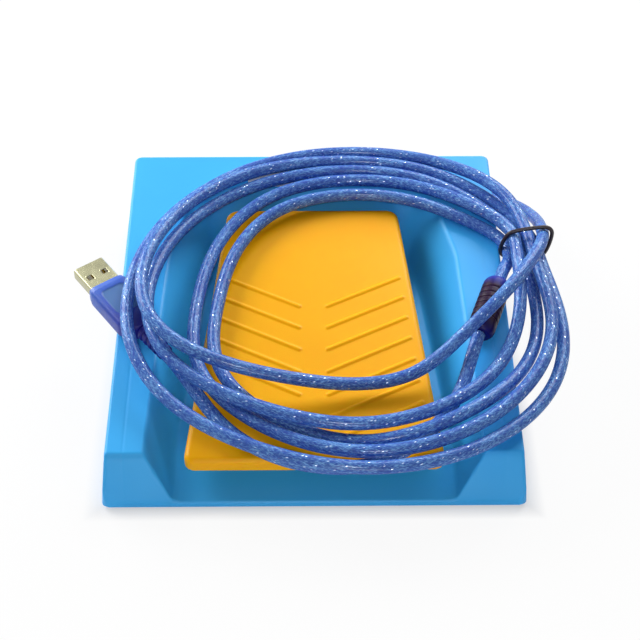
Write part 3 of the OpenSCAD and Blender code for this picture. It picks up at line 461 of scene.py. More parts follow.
baseLow, baseHigh = inMm(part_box("base_housing"))
guard = {
    "front": baseLow[1], "rear": baseHigh[1], "bottom": baseLow[2],
    "halfTop": 70.0, "draft": 6.0, "rearLean": 1.5, "lip": 3.4,
    "creaseY": -68.5, "creaseZ": 19.6, "pitch": 5.0,
    "recessHalf": 56.9, "taper": 2.2, "batter": 58.0,
    "bendY": 22.0, "deckY": 56.5, "rearHalf": 45.0, "rearBatter": 61.0,
    "floor": 8.0, "apronY": -56.0, "slopeLeast": 4.0,
    "creaseSoft": 3.0, "edgeSoft": 1.6, "lipSoft": 0.7, "lipFade": (0.5, 6),
    "floorSoft": 2.0, "apronSoft": 0.6, "bendSoft": 1.2, "cornerSoft": 11.0,
    "rim": 1.1, "lipRim": 1.0, "corner": 1.5, "rimShare": 0.45, "rimRows": 9, "wallRows": 6,
    "sinkX": 64.0, "sinkDepth": 0.07, "sinkWidth": 0.45,
    "plateLap": 0.4, "plateGap": 0.02,
    "rowMark": -72, "rowSteps": (0.28, 1.8, 2.2),  # fine, coarse and reach
    "colKnots": (48, 56.5), "colMarks": (47.5, 49.5, 55.5, 57.5), "colSteps": (0.28, 2.4, 1.6),
    "root": 0.1, "seatWall": 2.8, "seatShare": 0.7, "seatEase": 0.2,
}


def topZ(y):
    return guard["creaseZ"] + (y - guard["creaseY"]) * tanOf(guard["pitch"])


def facetZ(y):  # front facet, from the lip up to the crease
    g = guard
    return g["lip"] + (g["creaseZ"] - g["lip"]) * (y - g["front"]) / (g["creaseY"] - g["front"])


def recessEdge(y):  # half width of the recess where its slopes meet the wall tops
    g = guard
    straight = g["recessHalf"] - (y - g["creaseY"]) * tanOf(g["taper"])
    atBend = g["recessHalf"] - (g["bendY"] - g["creaseY"]) * tanOf(g["taper"])
    angled = atBend + (g["rearHalf"] - atBend) * (y - g["bendY"]) / (g["deckY"] - g["bendY"])
    return straight, angled


def rearSlopeZ(y):
    return topZ(guard["deckY"]) + (y - guard["deckY"]) * tanOf(guard["rearBatter"])


def recessZ(x, y):  # floor and apron, side slopes, angled corners and rear slope, the highest
    g = guard
    fall = (g["floor"] - g["lip"]) / (g["apronY"] - g["front"])
    apron = g["floor"] + (y - g["apronY"]) * fall
    floor = smoothMin(0 * y + g["floor"], apron, g["apronSoft"])
    steep = tanOf(g["batter"])
    straight, angled = (topZ(y) + (np.abs(x) - edge) * steep for edge in recessEdge(y))
    sides = smoothMax(straight, angled, g["bendSoft"])
    return smoothMax(floor, smoothMax(sides, rearSlopeZ(y), g["cornerSoft"]), g["floorSoft"])


def guardZ(x, y):
    g = guard
    outer = smoothMin(topZ(y), facetZ(y), g["creaseSoft"])
    low, high = (g["lip"] + rise for rise in g["lipFade"])
    soft = g["lipSoft"] + (g["edgeSoft"] - g["lipSoft"]) * smoothStep(low, high, outer)
    sink = g["sinkDepth"] * np.exp(-((np.abs(x) - g["sinkX"]) / g["sinkWidth"]) ** 2)
    return smoothMin(outer, recessZ(x, y), soft) - sink


def guardTop(rearTop):  # grid of the top: rows across, columns along the floor's edge and the rim
    g = guard
    floorRear = g["deckY"] - (topZ(g["deckY"]) - g["floor"]) / tanOf(g["rearBatter"])
    y0, y1 = g["front"] + g["lipRim"], rearTop - g["rim"]
    marks = [y0, g["rowMark"], g["creaseY"], g["apronY"], g["bendY"], floorRear, g["deckY"], y1]
    y = denseNear(y0, y1, marks, *g["rowSteps"])
    # half width of the top at each row, with its corners cut round
    outer = np.minimum(topZ(y), facetZ(y))
    half = g["halfTop"] + (topZ(y) - outer) * tanOf(g["draft"]) - g["rim"]
    for end in (y0, y1):
        t = np.clip(1 - np.abs(y - end) / g["corner"], 0, 1)
        half = half - g["corner"] * (1 - np.sqrt(1 - t * t))
    edge = np.maximum(np.minimum(*recessEdge(y)), g["rearHalf"] - g["slopeLeast"])
    level = np.maximum(g["floor"], rearSlopeZ(y))
    inner = np.minimum(edge - (topZ(y) - level) / tanOf(g["batter"]), edge - g["slopeLeast"])
    knots = [0, *g["colKnots"], g["halfTop"]]
    p = denseNear(0, knots[3], [*g["colMarks"], g["sinkX"], knots[3]], *g["colSteps"])
    v = np.interp(p, knots, [0, 1, 2, 3])
    v = np.concatenate([-v[:0:-1], v])
    a = np.abs(v)[None, :]
    x = (inner[:, None] * np.clip(a, 0, 1) + (edge - inner)[:, None] * np.clip(a - 1, 0, 1)
         + (half - edge)[:, None] * np.clip(a - 2, 0, 1)) * np.sign(v)[None, :]
    yy = np.broadcast_to(y[:, None], x.shape)
    return np.stack([x, yy, guardZ(x, yy)], -1)


def guardSkirt(top, rearTop):
    # a soft arc over the top's edge, then the drafted wall and a ring round the bottom plate
    g = guard
    start = top.reshape(-1, 3)[rimOf(*top.shape[:2])]
    n = outwardOf(start)
    frontness = np.clip(-n[:, 1], 0, 1) ** 2
    reach = g["rim"] + (g["lipRim"] - g["rim"]) * frontness
    over = start.copy()
    over[:, :2] += n * reach[:, None]
    over[:, 1] = np.maximum(over[:, 1], g["front"])
    rise = reach * n[:, 1] * tanOf(g["pitch"])
    over[:, 2] += np.where(frontness > 0.5, g["lip"] - start[:, 2], rise)
    tall = over[:, 2] - g["bottom"]
    rearLean = g["rearLean"] / (topZ(rearTop) - g["bottom"])
    lean = tanOf(g["draft"]) * np.abs(n[:, 0]) + np.clip(n[:, 1], 0, 1) * rearLean
    drop = np.minimum(reach, g["rimShare"] * tall)
    under = over.copy()
    under[:, :2] += n * (drop * lean)[:, None]
    under[:, 2] -= drop
    foot = under.copy()
    foot[:, :2] += n * ((tall - drop) * lean)[:, None]
    foot[:, 2] = g["bottom"]
    t = np.linspace(0, 1, g["rimRows"])[:, None, None]
    arc = (1 - t) ** 2 * start + 2 * t * (1 - t) * over + t * t * under
    wall = under + (foot - under) * np.linspace(0, 1, g["wallRows"])[1:, None, None]
    plate = inMm(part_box("bottom_plate"))
    middle = np.append(plate[:, :2].mean(0), 0)
    size = (plate[1, :2] - plate[0, :2]) / 2 - g["plateLap"]
    away = foot - middle
    ring = middle + away * (1 / np.maximum(np.abs(away[:, :2]) / size, 1e-6).max(1))[:, None]
    ring[:, 2] = g["bottom"] + g["plateGap"]
    return np.concatenate([arc, wall, ring[None]])


def slabLoops(outline, centre, x0, x1, ease):
    # side outline carried across, its two ends drawn in a little
    shrink = np.array([1, 0, 0, 1])[:, None, None] * ease
    loops = outline[None] + unit(centre - outline)[None] * shrink
    x = np.array([x0, x0 + ease, x1 - ease, x1])[:, None] + 0 * loops[..., 0]
    return np.concatenate([x[..., None], loops], -1)


def post(x, y, profile, sides=32):  # outline of radius and height turned about an upright axis
    a = fullTurn(sides)
    r, z = np.array(profile, float).T
    return np.stack([x + r[:, None] * np.cos(a), y + r[:, None] * np.sin(a),
                     z[:, None] + 0 * a], -1)


hinge = {"y": 38.0, "z": 17.0, "eyeR": 4.5, "eyeT": 5.0, "eyeSpan": 48.0, "lugSpan": 37.2,
         "ease": 0.4, "arcPoints": 25}
springs = {"span": 44.0, "y": -22.0, "nub": 3.0, "nubH": 2.4, "nubEase": 0.5, "mean": 8.0,
           "wire": 1.0, "turns": 5, "level": 0.06, "perTurn": 28, "sides": 10, "give": 2.8}


def eyeOutline(reachZ):  # half round about the pin with straight legs down or up to reachZ
    h = hinge
    side = 1 if reachZ < h["z"] else -1
    a = np.linspace(0, math.pi, h["arcPoints"]) * side
    arc = np.stack([h["y"] + h["eyeR"] * np.cos(a), h["z"] + h["eyeR"] * np.sin(a)], -1)
    legs = np.array([[h["y"] - h["eyeR"], reachZ], [h["y"] + h["eyeR"], reachZ]])
    return np.concatenate([arc, legs])


def addEyes(sheets, span, reachZ):
    centre = np.array([hinge["y"], (hinge["z"] + reachZ) / 2])
    half = hinge["eyeT"] / 2
    for x in (-span / 2, span / 2):
        sheets.closed(slabLoops(eyeOutline(reachZ), centre, x - half, x + half, hinge["ease"]))


def seatOutline(low, high):  # the switch's seat and the wall behind it, seen from the side
    g = guard
    root, seat = g["floor"] - g["root"], low[2]
    wallTop, back = seat + g["seatShare"] * (high[2] - low[2]), high[1] + g["seatWall"]
    return np.array([[low[1], root], [low[1], seat], [high[1], seat], [high[1], wallTop],
                     [back, wallTop], [back, root]])


def buildGuard():
    g, s = guard, springs
    rearTop = g["rear"] - g["rearLean"]
    sheets = Sheets()
    top = guardTop(rearTop)
    sheets.grid(top, wrapCols=False)
    sheets.grid(guardSkirt(top, rearTop))
    addEyes(sheets, hinge["eyeSpan"], g["floor"] - g["root"])
    low, high = inMm(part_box("switch_case"))
    seat = seatOutline(low, high)
    sheets.closed(slabLoops(seat, seat.mean(0), low[0], high[0], g["seatEase"]))
    f, r, h = g["floor"], s["nub"], s["nubH"]
    profile = [[r, f - g["root"]], [r, f + h - s["nubEase"]], [r - s["nubEase"], f + h], [0, f + h]]
    for x in (-s["span"] / 2, s["span"] / 2):
        sheets.grid(post(x, s["y"], profile))
    piece = makePiece("guard_base", *sheets.all(), "base_plastic")
    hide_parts("base_housing")
    return piece


guardBase = buildGuard()
print("guard base:", len(guardBase.data.polygons), "faces")


# pedal: a tilted plate with a chevron of ribs in its height, a rounded edge and a hollow skirt

treadle = {
    "y": -70.3, "drop": 1.2, "length": 117.05, "frontHalf": 43.9, "rearHalf": 32.6,
    "frontR": 3.4, "rearR": 4.4, "edge": 2.0, "edgeRows": 9, "skirt": 5.7, "skin": 2.4,
    "wall": 2.2, "ease": 0.35, "step": 0.37,
    "ribs": 8, "ribFirst": 67.2, "ribPitch": 10.0, "ribGap": 4.3, "ribAngle": 27.0,
    "ribMargin": 3.6, "ribFrontMargin": 6.0, "ribW": 1.8, "ribH": 0.42, "ribSoft": 0.12,
    "lugLap": 0.6, "bossR": 5.5, "bossDrop": 0.9, "bossLap": 0.6,  # bosses over the springs
    "nubDrop": 3.3, "nubSide": 2.9, "nubEase": 0.4,
    "pressR": 2.4, "pressTip": 2.1, "pressEase": 0.3, "pressGap": 0.1, "pressLap": 0.3,
}


def onTreadle(p):  # from the pedal's own slope to the frame
    t = treadle
    c, s = cosSin(guard["pitch"])
    z0 = topZ(t["y"]) - t["drop"]
    return np.stack([p[..., 0], t["y"] + c * p[..., 1] - s * p[..., 2],
                     z0 + s * p[..., 1] + c * p[..., 2]], -1)


def underskinZ(y):
    return topZ(y) - treadle["drop"] - treadle["skin"]


def ribHeight(x, y):  # cap of a circle over the distance to the nearest rib's line
    t = treadle
    taper = (t["frontHalf"] - t["rearHalf"]) / t["length"]
    c, s = cosSin(t["ribAngle"])
    y0 = (t["ribFirst"] - t["ribPitch"] * np.arange(t["ribs"]))[:, None, None]
    half = t["frontHalf"] - y0 * taper - t["ribMargin"]
    first = np.maximum(0, (t["ribFrontMargin"] - y0) / s) + t["ribW"] / 2
    last = (half - t["ribGap"]) / (c + taper * s) - t["ribW"] / 2
    dx, dy = np.abs(x)[None] - t["ribGap"], y[None] - y0
    along = np.clip(dx * c + dy * s, first, np.maximum(first, last))
    d = np.hypot(dx - along * c, dy - along * s)
    d = np.where(last > first, d, np.inf).min(0)
    r = (t["ribW"] ** 2 / 4 + t["ribH"] ** 2) / (2 * t["ribH"])
    cap = np.sqrt(np.maximum(r * r - d * d, 0)) - (r - t["ribH"])
    return smoothMax(0 * x, cap, t["ribSoft"])


def treadleSheets():  # top, rounded edge, skirt and its inner wall, in the pedal's own slope
    t = treadle
    e = t["edge"]
    y = np.linspace(e, t["length"] - e, int((t["length"] - 2 * e) / t["step"]))
    half = t["frontHalf"] + (t["rearHalf"] - t["frontHalf"]) * y / t["length"] - e
    for end, r in ((e, t["frontR"] - e), (t["length"] - e, t["rearR"] - e)):
        k = np.clip(1 - np.abs(y - end) / r, 0, 1)
        half = half - r * (1 - np.sqrt(1 - k * k))
    u = np.linspace(-1, 1, int(2 * t["frontHalf"] / t["step"]))
    x = half[:, None] * u[None, :]
    yy = np.broadcast_to(y[:, None], x.shape)
    top = np.stack([x, yy, ribHeight(x, yy)], -1)
    start = top.reshape(-1, 3)[rimOf(*x.shape)]
    n = np.concatenate([outwardOf(start), np.zeros((len(start), 1))], 1)
    a = np.linspace(0, math.pi / 2, t["edgeRows"])[:, None, None]
    arc = start + e * (np.sin(a) * n + (np.cos(a) - 1) * np.array([0, 0, 1]))
    low, inside, ease = -t["skirt"], e - t["wall"], t["ease"]
    outs = np.array([[e, low + ease], [e - ease, low], [inside + ease, low], [inside, low + ease],
                     [inside, -t["skin"]]])
    walls = start[None] + outs[:, :1, None] * n
    walls[..., 2] = outs[:, 1:]
    return top, np.concatenate([arc, walls])


def buildTreadle():
    t, s = treadle, springs
    top, skirt = treadleSheets()
    sheets = Sheets()
    sheets.grid(onTreadle(top), wrapCols=False)
    sheets.grid(onTreadle(skirt))
    sheets.cap(onTreadle(skirt[-1]))
    addEyes(sheets, hinge["lugSpan"], underskinZ(hinge["y"]) + t["lugLap"])
    high, nub = underskinZ(s["y"]), s["nub"]
    profile = [[0, high - t["nubDrop"]], [nub - t["nubEase"], high - t["nubDrop"]],
               [nub, high - t["nubSide"]], [nub, high - t["bossDrop"]],
               [t["bossR"], high - t["bossDrop"]], [t["bossR"], high + t["bossLap"]]]
    for x in (-s["span"] / 2, s["span"] / 2):
        sheets.grid(post(x, s["y"], profile))
    plungerLow, plungerHigh = inMm(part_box("switch_plunger"))
    tip, mid = plungerHigh[2] + t["pressGap"], (plungerLow[1] + plungerHigh[1]) / 2
    profile = [[0, tip], [t["pressTip"], tip], [t["pressR"], tip + t["pressEase"]],
               [t["pressR"], underskinZ(mid) + t["pressLap"]]]
    sheets.grid(post(0, mid, profile))
    piece = makePiece("treadle_top", *sheets.all(), "pedal_plastic", body="treadle")
    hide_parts("pedal")
    return piece


treadleTop = buildTreadle()
print("treadle:", len(treadleTop.data.polygons), "faces")


# cable: the route of the CAD solids as one spline, a round tube carried along it

cable = {
    "diameter": 4.6, "sides": 20, "ring": 1.5,
    "lead": [[10, 87.852, 12.5], [10, 92.952, 12.2], [14, 102, 8], [28, 104, 3], [47, 98, 2.8],
             [65, 87, 3], [77, 80, 4.5], [83, 71, 9], [85.5, 58, 16.5], [87, 43, 25]],
    "ringMid": [8, 0],
    "ringPoints": [[90.5, -17], [84, -46], [58, -72], [20, -83], [-16, -75], [-47, -57],
                   [-62, -36], [-66, -8], [-58, 32], [-30, 64], [8, 75], [48, 70], [74, 48]],
    # how far inside the ring each turn runs: right, front right, front, left, back, beside the tie
    "lanes": [[21, 36, 40.5, 2.7, 5.6, 4], [0, 0, 0, -1.5, 0, 1], [4, 6.7, 6, 24, 16.2, 16],
              [16.5, 20, 18, 5.4, 10.9, 9.8], [9, 12.6, 12, 32, 24.5, 20]],
    # place among these six, or between two of them, at each of the ring's points
    "laneAt": [0, 1, 1.5, 2, 2.2, 2.5, 2.85, 3, 3.2, 3.8, 4, 4, 5],
    # layer of each turn at each place, 0 on the base
    "layers": [[3.1, 2, 0.2, 0, 0.8, 1.9, 2.9, 2.8, 1.5, 0.6, 0, 0, 0],
               [0, 0, 0.6, 1, 1, 1, 1.8, 1.7, 0.5, 0, 0, 0, 1.2],
               [0.9, 0.9, 1.1, 1, 0.4, 0.35, 0.1, 0, 0, 0, 0, 0, 0.9],
               [1.3, 0.5, 1.2, 1, 1.2, 1.5, 1.8, 1.6, 0.5, 0, 0, 0, 0],
               [0, 0.3, 1.6, 0.35, 0, 0, 0, 0, 0, 0, 0, 0, 0]],
    "layerLow": 3.0, "layerStep": 5.2,
    "tieAt": [79, 20], "tieStep": 5.6, "tieRise": 5.1, "tieRun": 6.0,
    # places in the tied bundle, across and up, and the climb on the way through
    "tieSlots": [[1.05, 1.6, 2.3], [0.8, 0, 0], [0.1, 1.05, 0], [-0.8, 1.2, 0], [-0.15, 0, 0],
                 [-1.1, 0, 0]],
    "ferriteTop": [67, 1, 32], "ferriteLow": [58, -23, 29.5],
    "end": [[50, -48, 24], [36, -66, 22.4], [18, -77, 21], [-8, -75, 21.2], [-28, -63, 22.4],
            [-38, -49, 24]],
    "plugAt": [-51, -30.5, 28], "plugYaw": 127.0, "plugTilt": 3.0, "straight": 8.0,
}


def plugAxis():
    c, s = cosSin(cable["plugYaw"])
    level, rise = cosSin(cable["plugTilt"])
    return np.array([level * c, level * s, rise])


def tiePoints(slot):
    c = cable
    run = np.array([c["tieRun"], -c["tieRun"]])
    across = c["tieAt"][0] + c["tieStep"] * slot[0] + 0 * run
    low = topZ(c["tieAt"][1]) + c["layerLow"]
    z = low + c["tieRise"] * slot[1] - slot[2] * run / c["tieRun"]
    return np.stack([across, c["tieAt"][1] + run, z], -1)


def turnPoints(i):
    c = cable
    ring = np.array(c["ringPoints"], float)
    inward = unit(np.array(c["ringMid"]) - ring)
    lane = c["lanes"][i]
    p = ring + inward * np.interp(c["laneAt"], range(len(lane)), lane)[:, None]
    z = topZ(p[:, 1]) + c["layerLow"] + c["layerStep"] * np.array(c["layers"][i])
    return np.concatenate([tiePoints(c["tieSlots"][i]), np.concatenate([p, z[:, None]], 1)])


def spline(q, n=24):  # uniform cubic B-spline that meets both its end points
    q = np.asarray(q, float)
    p = np.concatenate([[2 * q[0] - q[1]], q, [2 * q[-1] - q[-2]]])
    t = (np.arange(n) / n)[None, :, None]
    s = 1 - t
    a, b, c, d = (p[k:len(p) - 3 + k, None] for k in range(4))
    points = (s ** 3 * a + (3 * t ** 3 - 6 * t ** 2 + 4) * b
              + (3 * s ** 3 - 6 * s ** 2 + 4) * c + t ** 3 * d) / 6
    return np.concatenate([points.reshape(-1, 3), q[-1:]])


def evenly(points, step):  # the same line with points an even step apart
    s = np.concatenate([[0], np.cumsum(np.linalg.norm(np.diff(points, axis=0), axis=1))])
    at = np.linspace(0, s[-1], int(round(s[-1] / step)) + 1)
    return np.stack([np.interp(at, s, points[:, k]) for k in range(3)], -1), at


def ferriteEnds():
    return np.array([cable["ferriteTop"], cable["ferriteLow"]], float)


def cableRoute():
    c = cable
    top, low = ferriteEnds()
    down = unit(low - top)
    turns = [turnPoints(i) for i in range(len(c["lanes"]))]
    coil = np.concatenate([np.array(c["lead"], float), *turns, tiePoints(c["tieSlots"][-1]),
                           [top - c["straight"] * down, top]])
    plugAt = np.array(c["plugAt"], float)
    end = np.concatenate([[low, low + c["straight"] * down], np.array(c["end"], float),
                          [plugAt - c["straight"] * plugAxis(), plugAt]])
    return evenly(np.concatenate([spline(coil), spline(end)]), c["ring"])


def tubeRings(path, radius, sides, axis=None):
    # circle square to the path or to one axis, from its upper side
    t = unit(np.gradient(path, axis=0)) if axis is None else np.broadcast_to(axis, path.shape)
    across = unit(np.cross(t, np.array([0.0, 0, 1])))
    rise = np.cross(across, t)
    a = fullTurn(sides)[None, :, None]
    r = np.broadcast_to(np.asarray(radius, float), (len(path),))[:, None, None]
    return path[:, None] + r * (np.cos(a) * rise[:, None] + np.sin(a) * across[:, None])


def buildCable():
    c = cable
    path, at = cableRoute()
    rings = tubeRings(path, c["diameter"] / 2, c["sides"])
    girths = at / (math.pi * c["diameter"])
    piece = makePiece("usb_cable", rings, gridQuads(rings), "cable_jacket",
                      uv=wrapUv(girths, c["sides"]), merge=False, sharpAngle=180)
    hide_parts("cable_lead", "cable_coil", "cable_end")
    return piece, path, at[-1]


usbCable, cablePath, cableLength = buildCable()
print("cable: %.3f m" % (cableLength * mm))


# wire tie: an oval drawn by its reach in each direction, a soft greatest of the strands' reaches

tie = {"diameter": 1.5, "around": [5, 1, 0, 3], "spare": 0.05, "soft": 14.0, "sides": 12,
       "count": 120}


def buildTie():
    c = cable
    slots = np.array([c["tieSlots"][i] for i in tie["around"]])
    low = topZ(c["tieAt"][1]) + c["layerLow"]
    mid = np.stack([c["tieAt"][0] + c["tieStep"] * slots[:, 0],
                    low + c["tieRise"] * slots[:, 1]], -1)
    centre = mid.mean(0)
    margin = (c["diameter"] + tie["diameter"]) / 2 + tie["spare"]
    a = fullTurn(tie["count"])
    toward = np.stack([np.cos(a), np.sin(a)], -1)
    aside = np.stack([-np.sin(a), np.cos(a)], -1)
    k = tie["soft"]
    reach = np.maximum((mid - centre) @ toward.T + margin, 0)
    most = (reach ** k).sum(0) ** (1 / k)
    slip = ((reach ** (k - 1)) * ((mid - centre) @ aside.T)).sum(0) / most ** (k - 1)
    loop = centre + most[:, None] * toward + slip[:, None] * aside
    path = np.stack([loop[:, 0], 0 * a + c["tieAt"][1], loop[:, 1]], -1)
    t = unit(np.roll(path, -1, 0) - np.roll(path, 1, 0))
    across = np.array([0.0, 1, 0])
    b = fullTurn(tie["sides"])[None, :, None]
    ring = np.cos(b) * across + np.sin(b) * np.cross(t, across)[:, None]
    rings = path[:, None] + tie["diameter"] / 2 * ring
    piece = makePiece("cable_tie_loop", rings, gridQuads(rings, wrapRows=True), "tie_wire")
    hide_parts("cable_tie")
    return piece


tieLoop = buildTie()
print("tie made")


# return springs: a circle carried up a helix that runs level for a short way at both ends

def buildSprings():
    s = springs
    low, high = inMm(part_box("return_springs"))
    along = np.linspace(0, 1, s["turns"] * s["perTurn"] + 1)
    a = 2 * math.pi * s["turns"] * along
    climb = np.clip((along - s["level"]) / (1 - 2 * s["level"]), 0, 1)
    z = low[2] + s["wire"] / 2 + (high[2] - low[2] - s["wire"]) * climb
    r = s["mean"] / 2
    sheets = Sheets()
    for x in (-s["span"] / 2, s["span"] / 2):
        helix = np.stack([x + r * np.cos(a), s["y"] + r * np.sin(a), z], -1)
        sheets.closed(tubeRings(helix, s["wire"] / 2, s["sides"]))
    piece = makePiece("return_coils", *sheets.all(), "steel")
    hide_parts("return_springs")
    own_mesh(piece)
    return piece


returnCoils = buildSprings()
print("springs:", len(returnCoils.data.polygons), "faces")


# ferrite sleeve: a radius along the axis, round at both ends with narrow grooves round the middle

ferrite = {"radius": 5.0, "neck": 2.7, "bore": 2.0, "end": 3.4, "grooves": 6, "groovePitch": 2.6,
           "grooveDepth": 0.3, "grooveWidth": 0.26, "sides": 64, "step": 0.16}


def buildFerrite():
    f = ferrite
    top, low = ferriteEnds()
    length = np.linalg.norm(low - top)
    s = np.linspace(0, length, int(length / f["step"]))
    inward = np.clip(1 - np.minimum(s, length - s) / f["end"], 0, 1)
    r = f["neck"] + (f["radius"] - f["neck"]) * np.sqrt(1 - inward ** 2)
    at = length / 2 + f["groovePitch"] * (np.arange(f["grooves"]) - (f["grooves"] - 1) / 2)
    r = r - f["grooveDepth"] * np.exp(-((s[:, None] - at) / f["grooveWidth"]) ** 2).sum(1)
    s = np.concatenate([s[:1], s, s[-1:]])
    r = np.concatenate([[f["bore"]], r, [f["bore"]]])
    path = top + s[:, None] * (low - top) / length
    rings = tubeRings(path, r, f["sides"], unit(low - top))
    piece = makePiece("ferrite_sleeve_grooved", rings, gridQuads(rings), "ferrite_moulding",
                      uv=wrapUv(s / length, f["sides"]))
    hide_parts("ferrite_sleeve")
    return piece


ferriteSleeve = buildFerrite()
print("ferrite sleeve made")


# plug: sections carried along its axis, round at the ribbed relief and near square at the grip

plug = {
    "relief": 14.0, "reliefThin": 2.75, "reliefThick": 3.5, "bore": 2.0,
    "ribs": 5, "ribDepth": 0.6, "ribFlank": (0.25, 0.6),
    "grip": 26.0, "rearWide": 10.2, "rearTall": 7.0, "wide": 15.0, "tall": 7.8, "shoulder": 6.0,
    "nose": 3.0, "noseWide": 13.8, "noseTall": 6.6, "square": 6.0, "squareRun": 2, "ease": 0.7,
    "panelFrom": 22.0, "panelTo": 36.0, "panelHalf": 5.2, "panelDepth": 0.35, "panelEdge": 0.14,
    "panelSquare": 6,
    "sides": 176, "steps": (0.12, 0.22, 1.0),  # fine, coarse and reach
    "shellFrom": 39.6, "shellTo": 52.1, "shellWide": 12.0, "shellTall": 4.5, "shellCorner": 0.7,
    "sheet": 0.35, "mouth": 0.5, "mouthDepth": 1.5, "shellRows": 25, "shellCols": 12,
    "windowAt": 45.3, "windowLong": 2.2, "windowSpan": 5.8, "windowWide": 2.4, "windowFace": 0.3,
    "lip": 0.5, "lipIn": 0.18, "lipRows": 6,
}


def onPlug(p):  # from the plug's own axes, with x to the tip, to the frame
    c, s = cosSin(cable["plugYaw"])
    ahead, aside = plugAxis(), np.array([-s, c, 0])
    return np.array(cable["plugAt"]) + p @ np.stack([ahead, aside, np.cross(ahead, aside)])


def plugSections():  # half width, half height and squareness at each place along the axis
    g = plug
    rear, end = g["relief"], g["relief"] + g["grip"]
    x = denseNear(0, end, [rear, rear + g["shoulder"], end - g["nose"], end], *g["steps"])
    t = np.clip(x / rear, 0, 1)
    wave = 0.5 - 0.5 * np.cos(2 * math.pi * (g["ribs"] * t))
    ribbed = g["reliefThin"] + (g["reliefThick"] - g["reliefThin"]) * t
    ribbed = ribbed + g["ribDepth"] * (smoothStep(*g["ribFlank"], wave) - 1) * (t < 1)
    grip = np.clip((x - rear) / g["ease"], 0, 1)
    grip = np.sqrt(1 - (1 - grip) ** 2)
    swell = smoothStep(rear, rear + g["shoulder"], x)
    nose = smoothStep(end - g["nose"], end, x)
    tip = np.clip(1 - (end - x) / g["ease"], 0, 1)
    tip = g["ease"] * (1 - np.sqrt(1 - tip ** 2))
    halves = []
    for way in ("Wide", "Tall"):
        rearSize, full, front = g["rear" + way], g[way.lower()], g["nose" + way]
        body = rearSize + (full - rearSize) * swell + (front - full) * nose
        halves.append(ribbed + (body / 2 - ribbed) * grip - tip)
    return x, *halves, 2 + (g["square"] - 2) * smoothStep(rear, rear + g["squareRun"], x)


def buildPlugGrip():
    # each section is a squircle; a closing ring at the rear and a mouth round the shell at the tip
    g = plug
    rows = (np.concatenate([v[:1], v, v[-1:], v[-1:]]) for v in plugSections())
    x, wide, tall, square = rows
    wide[0] = tall[0] = g["bore"]
    wide[-2:] = g["shellWide"] / 2 - g["mouth"]
    tall[-2:] = g["shellTall"] / 2 - g["mouth"]
    x[-1] = x[-1] - g["mouthDepth"]
    a = fullTurn(g["sides"])
    c, s = np.abs(np.cos(a))[None, :], np.abs(np.sin(a))[None, :]
    k = (c ** square[:, None] + s ** square[:, None]) ** (-1 / square[:, None])
    y, z = wide[:, None] * np.cos(a) * k, tall[:, None] * np.sin(a) * k
    # panel: a shallow squircle pressed into the upper and lower faces
    mid, half = (g["panelFrom"] + g["panelTo"]) / 2, (g["panelTo"] - g["panelFrom"]) / 2
    power = g["panelSquare"]
    away = np.abs((x[:, None] - mid) / half) ** power + np.abs(y / g["panelHalf"]) ** power
    away = away ** (1 / power)
    sunk = (1 - smoothStep(1 - g["panelEdge"], 1, away)) * (np.abs(z) > 0.5 * tall[:, None])
    z = z - np.sign(z) * g["panelDepth"] * sunk
    points = onPlug(np.stack([x[:, None] + 0 * y, y, z], -1))
    piece = makePiece("plug_grip", points, gridQuads(points), "cable_moulding",
                      material=plugFinish, uv=wrapUv(x / x.max(), g["sides"]), merge=False)
    mark = piece.data.attributes.new("panel", "FLOAT", "POINT")
    mark.data.foreach_set("value", sunk.ravel().astype(np.float32))
    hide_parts("plug_overmould")
    return piece


def buildPlugShell():
    # rounded outline of folded sheet carried to the tip, drawn in at its lip, with open windows
    g = plug
    size = np.array([g["shellWide"] / 2, g["shellTall"] / 2])
    sides = [g["windowSpan"] / 2 + way * g["windowWide"] / 2 for way in (-1, 1)]
    fine = np.linspace(0, size[0] - g["shellCorner"], g["shellCols"])[1:-1]
    outline = roundRect(*size, g["shellCorner"], [*sides, *fine])
    cuts = [g["windowAt"] + way * g["windowLong"] / 2 for way in (-1, 1)]
    lip = np.linspace(g["shellTo"] - g["lip"], g["shellTo"], g["lipRows"])[:-1]
    rows = np.linspace(g["shellFrom"], g["shellTo"], g["shellRows"])
    x = np.array(sorted([*rows, *cuts, *lip]))
    drawn = g["lipIn"] * np.clip((x - g["shellTo"] + g["lip"]) / g["lip"], 0, 1) ** 2
    loops = outline[None] * (1 - drawn[:, None, None] / size)
    p = np.concatenate([x[:, None, None] + 0 * loops[..., :1], loops], -1)
    quads = gridQuads(p)
    middle = p.reshape(-1, 3)[quads].mean(1)
    inWindow = np.abs(middle[:, 0] - g["windowAt"]) < g["windowLong"] / 2
    inWindow &= np.abs(np.abs(middle[:, 1]) - g["windowSpan"] / 2) < g["windowWide"] / 2
    inWindow &= np.abs(middle[:, 2]) > size[1] - g["windowFace"]
    piece = makePiece("plug_tube", onPlug(p), quads[~inWindow], "plug_metal")
    wall = piece.modifiers.new("sheet", "SOLIDIFY")
    wall.thickness = g["sheet"] * mm
    wall.offset = -1
    wall.use_even_offset = True
    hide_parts("plug_shell")
    return piece


plugGrip = buildPlugGrip()
plugTube = buildPlugShell()
print("plug made")


# bare label on the deck: rings of a rounded outline drawn in to the middle, laid on the deck

label = {
    "half": 25.0, "front": 57.2, "rear": 70.4, "corner": 1.4, "thick": 0.1,
    "rings": [1.0, 1.0, 0.994, 0.9, 0.75, 0.55, 0.35, 0.15, 0.0],
    "lift": [-0.3, 0.7, 1, 1, 1, 1, 1, 1, 1],  # share of the thickness at each ring
    "firstMark": 2, "lastMark": 0.5, "marks": 12,
}


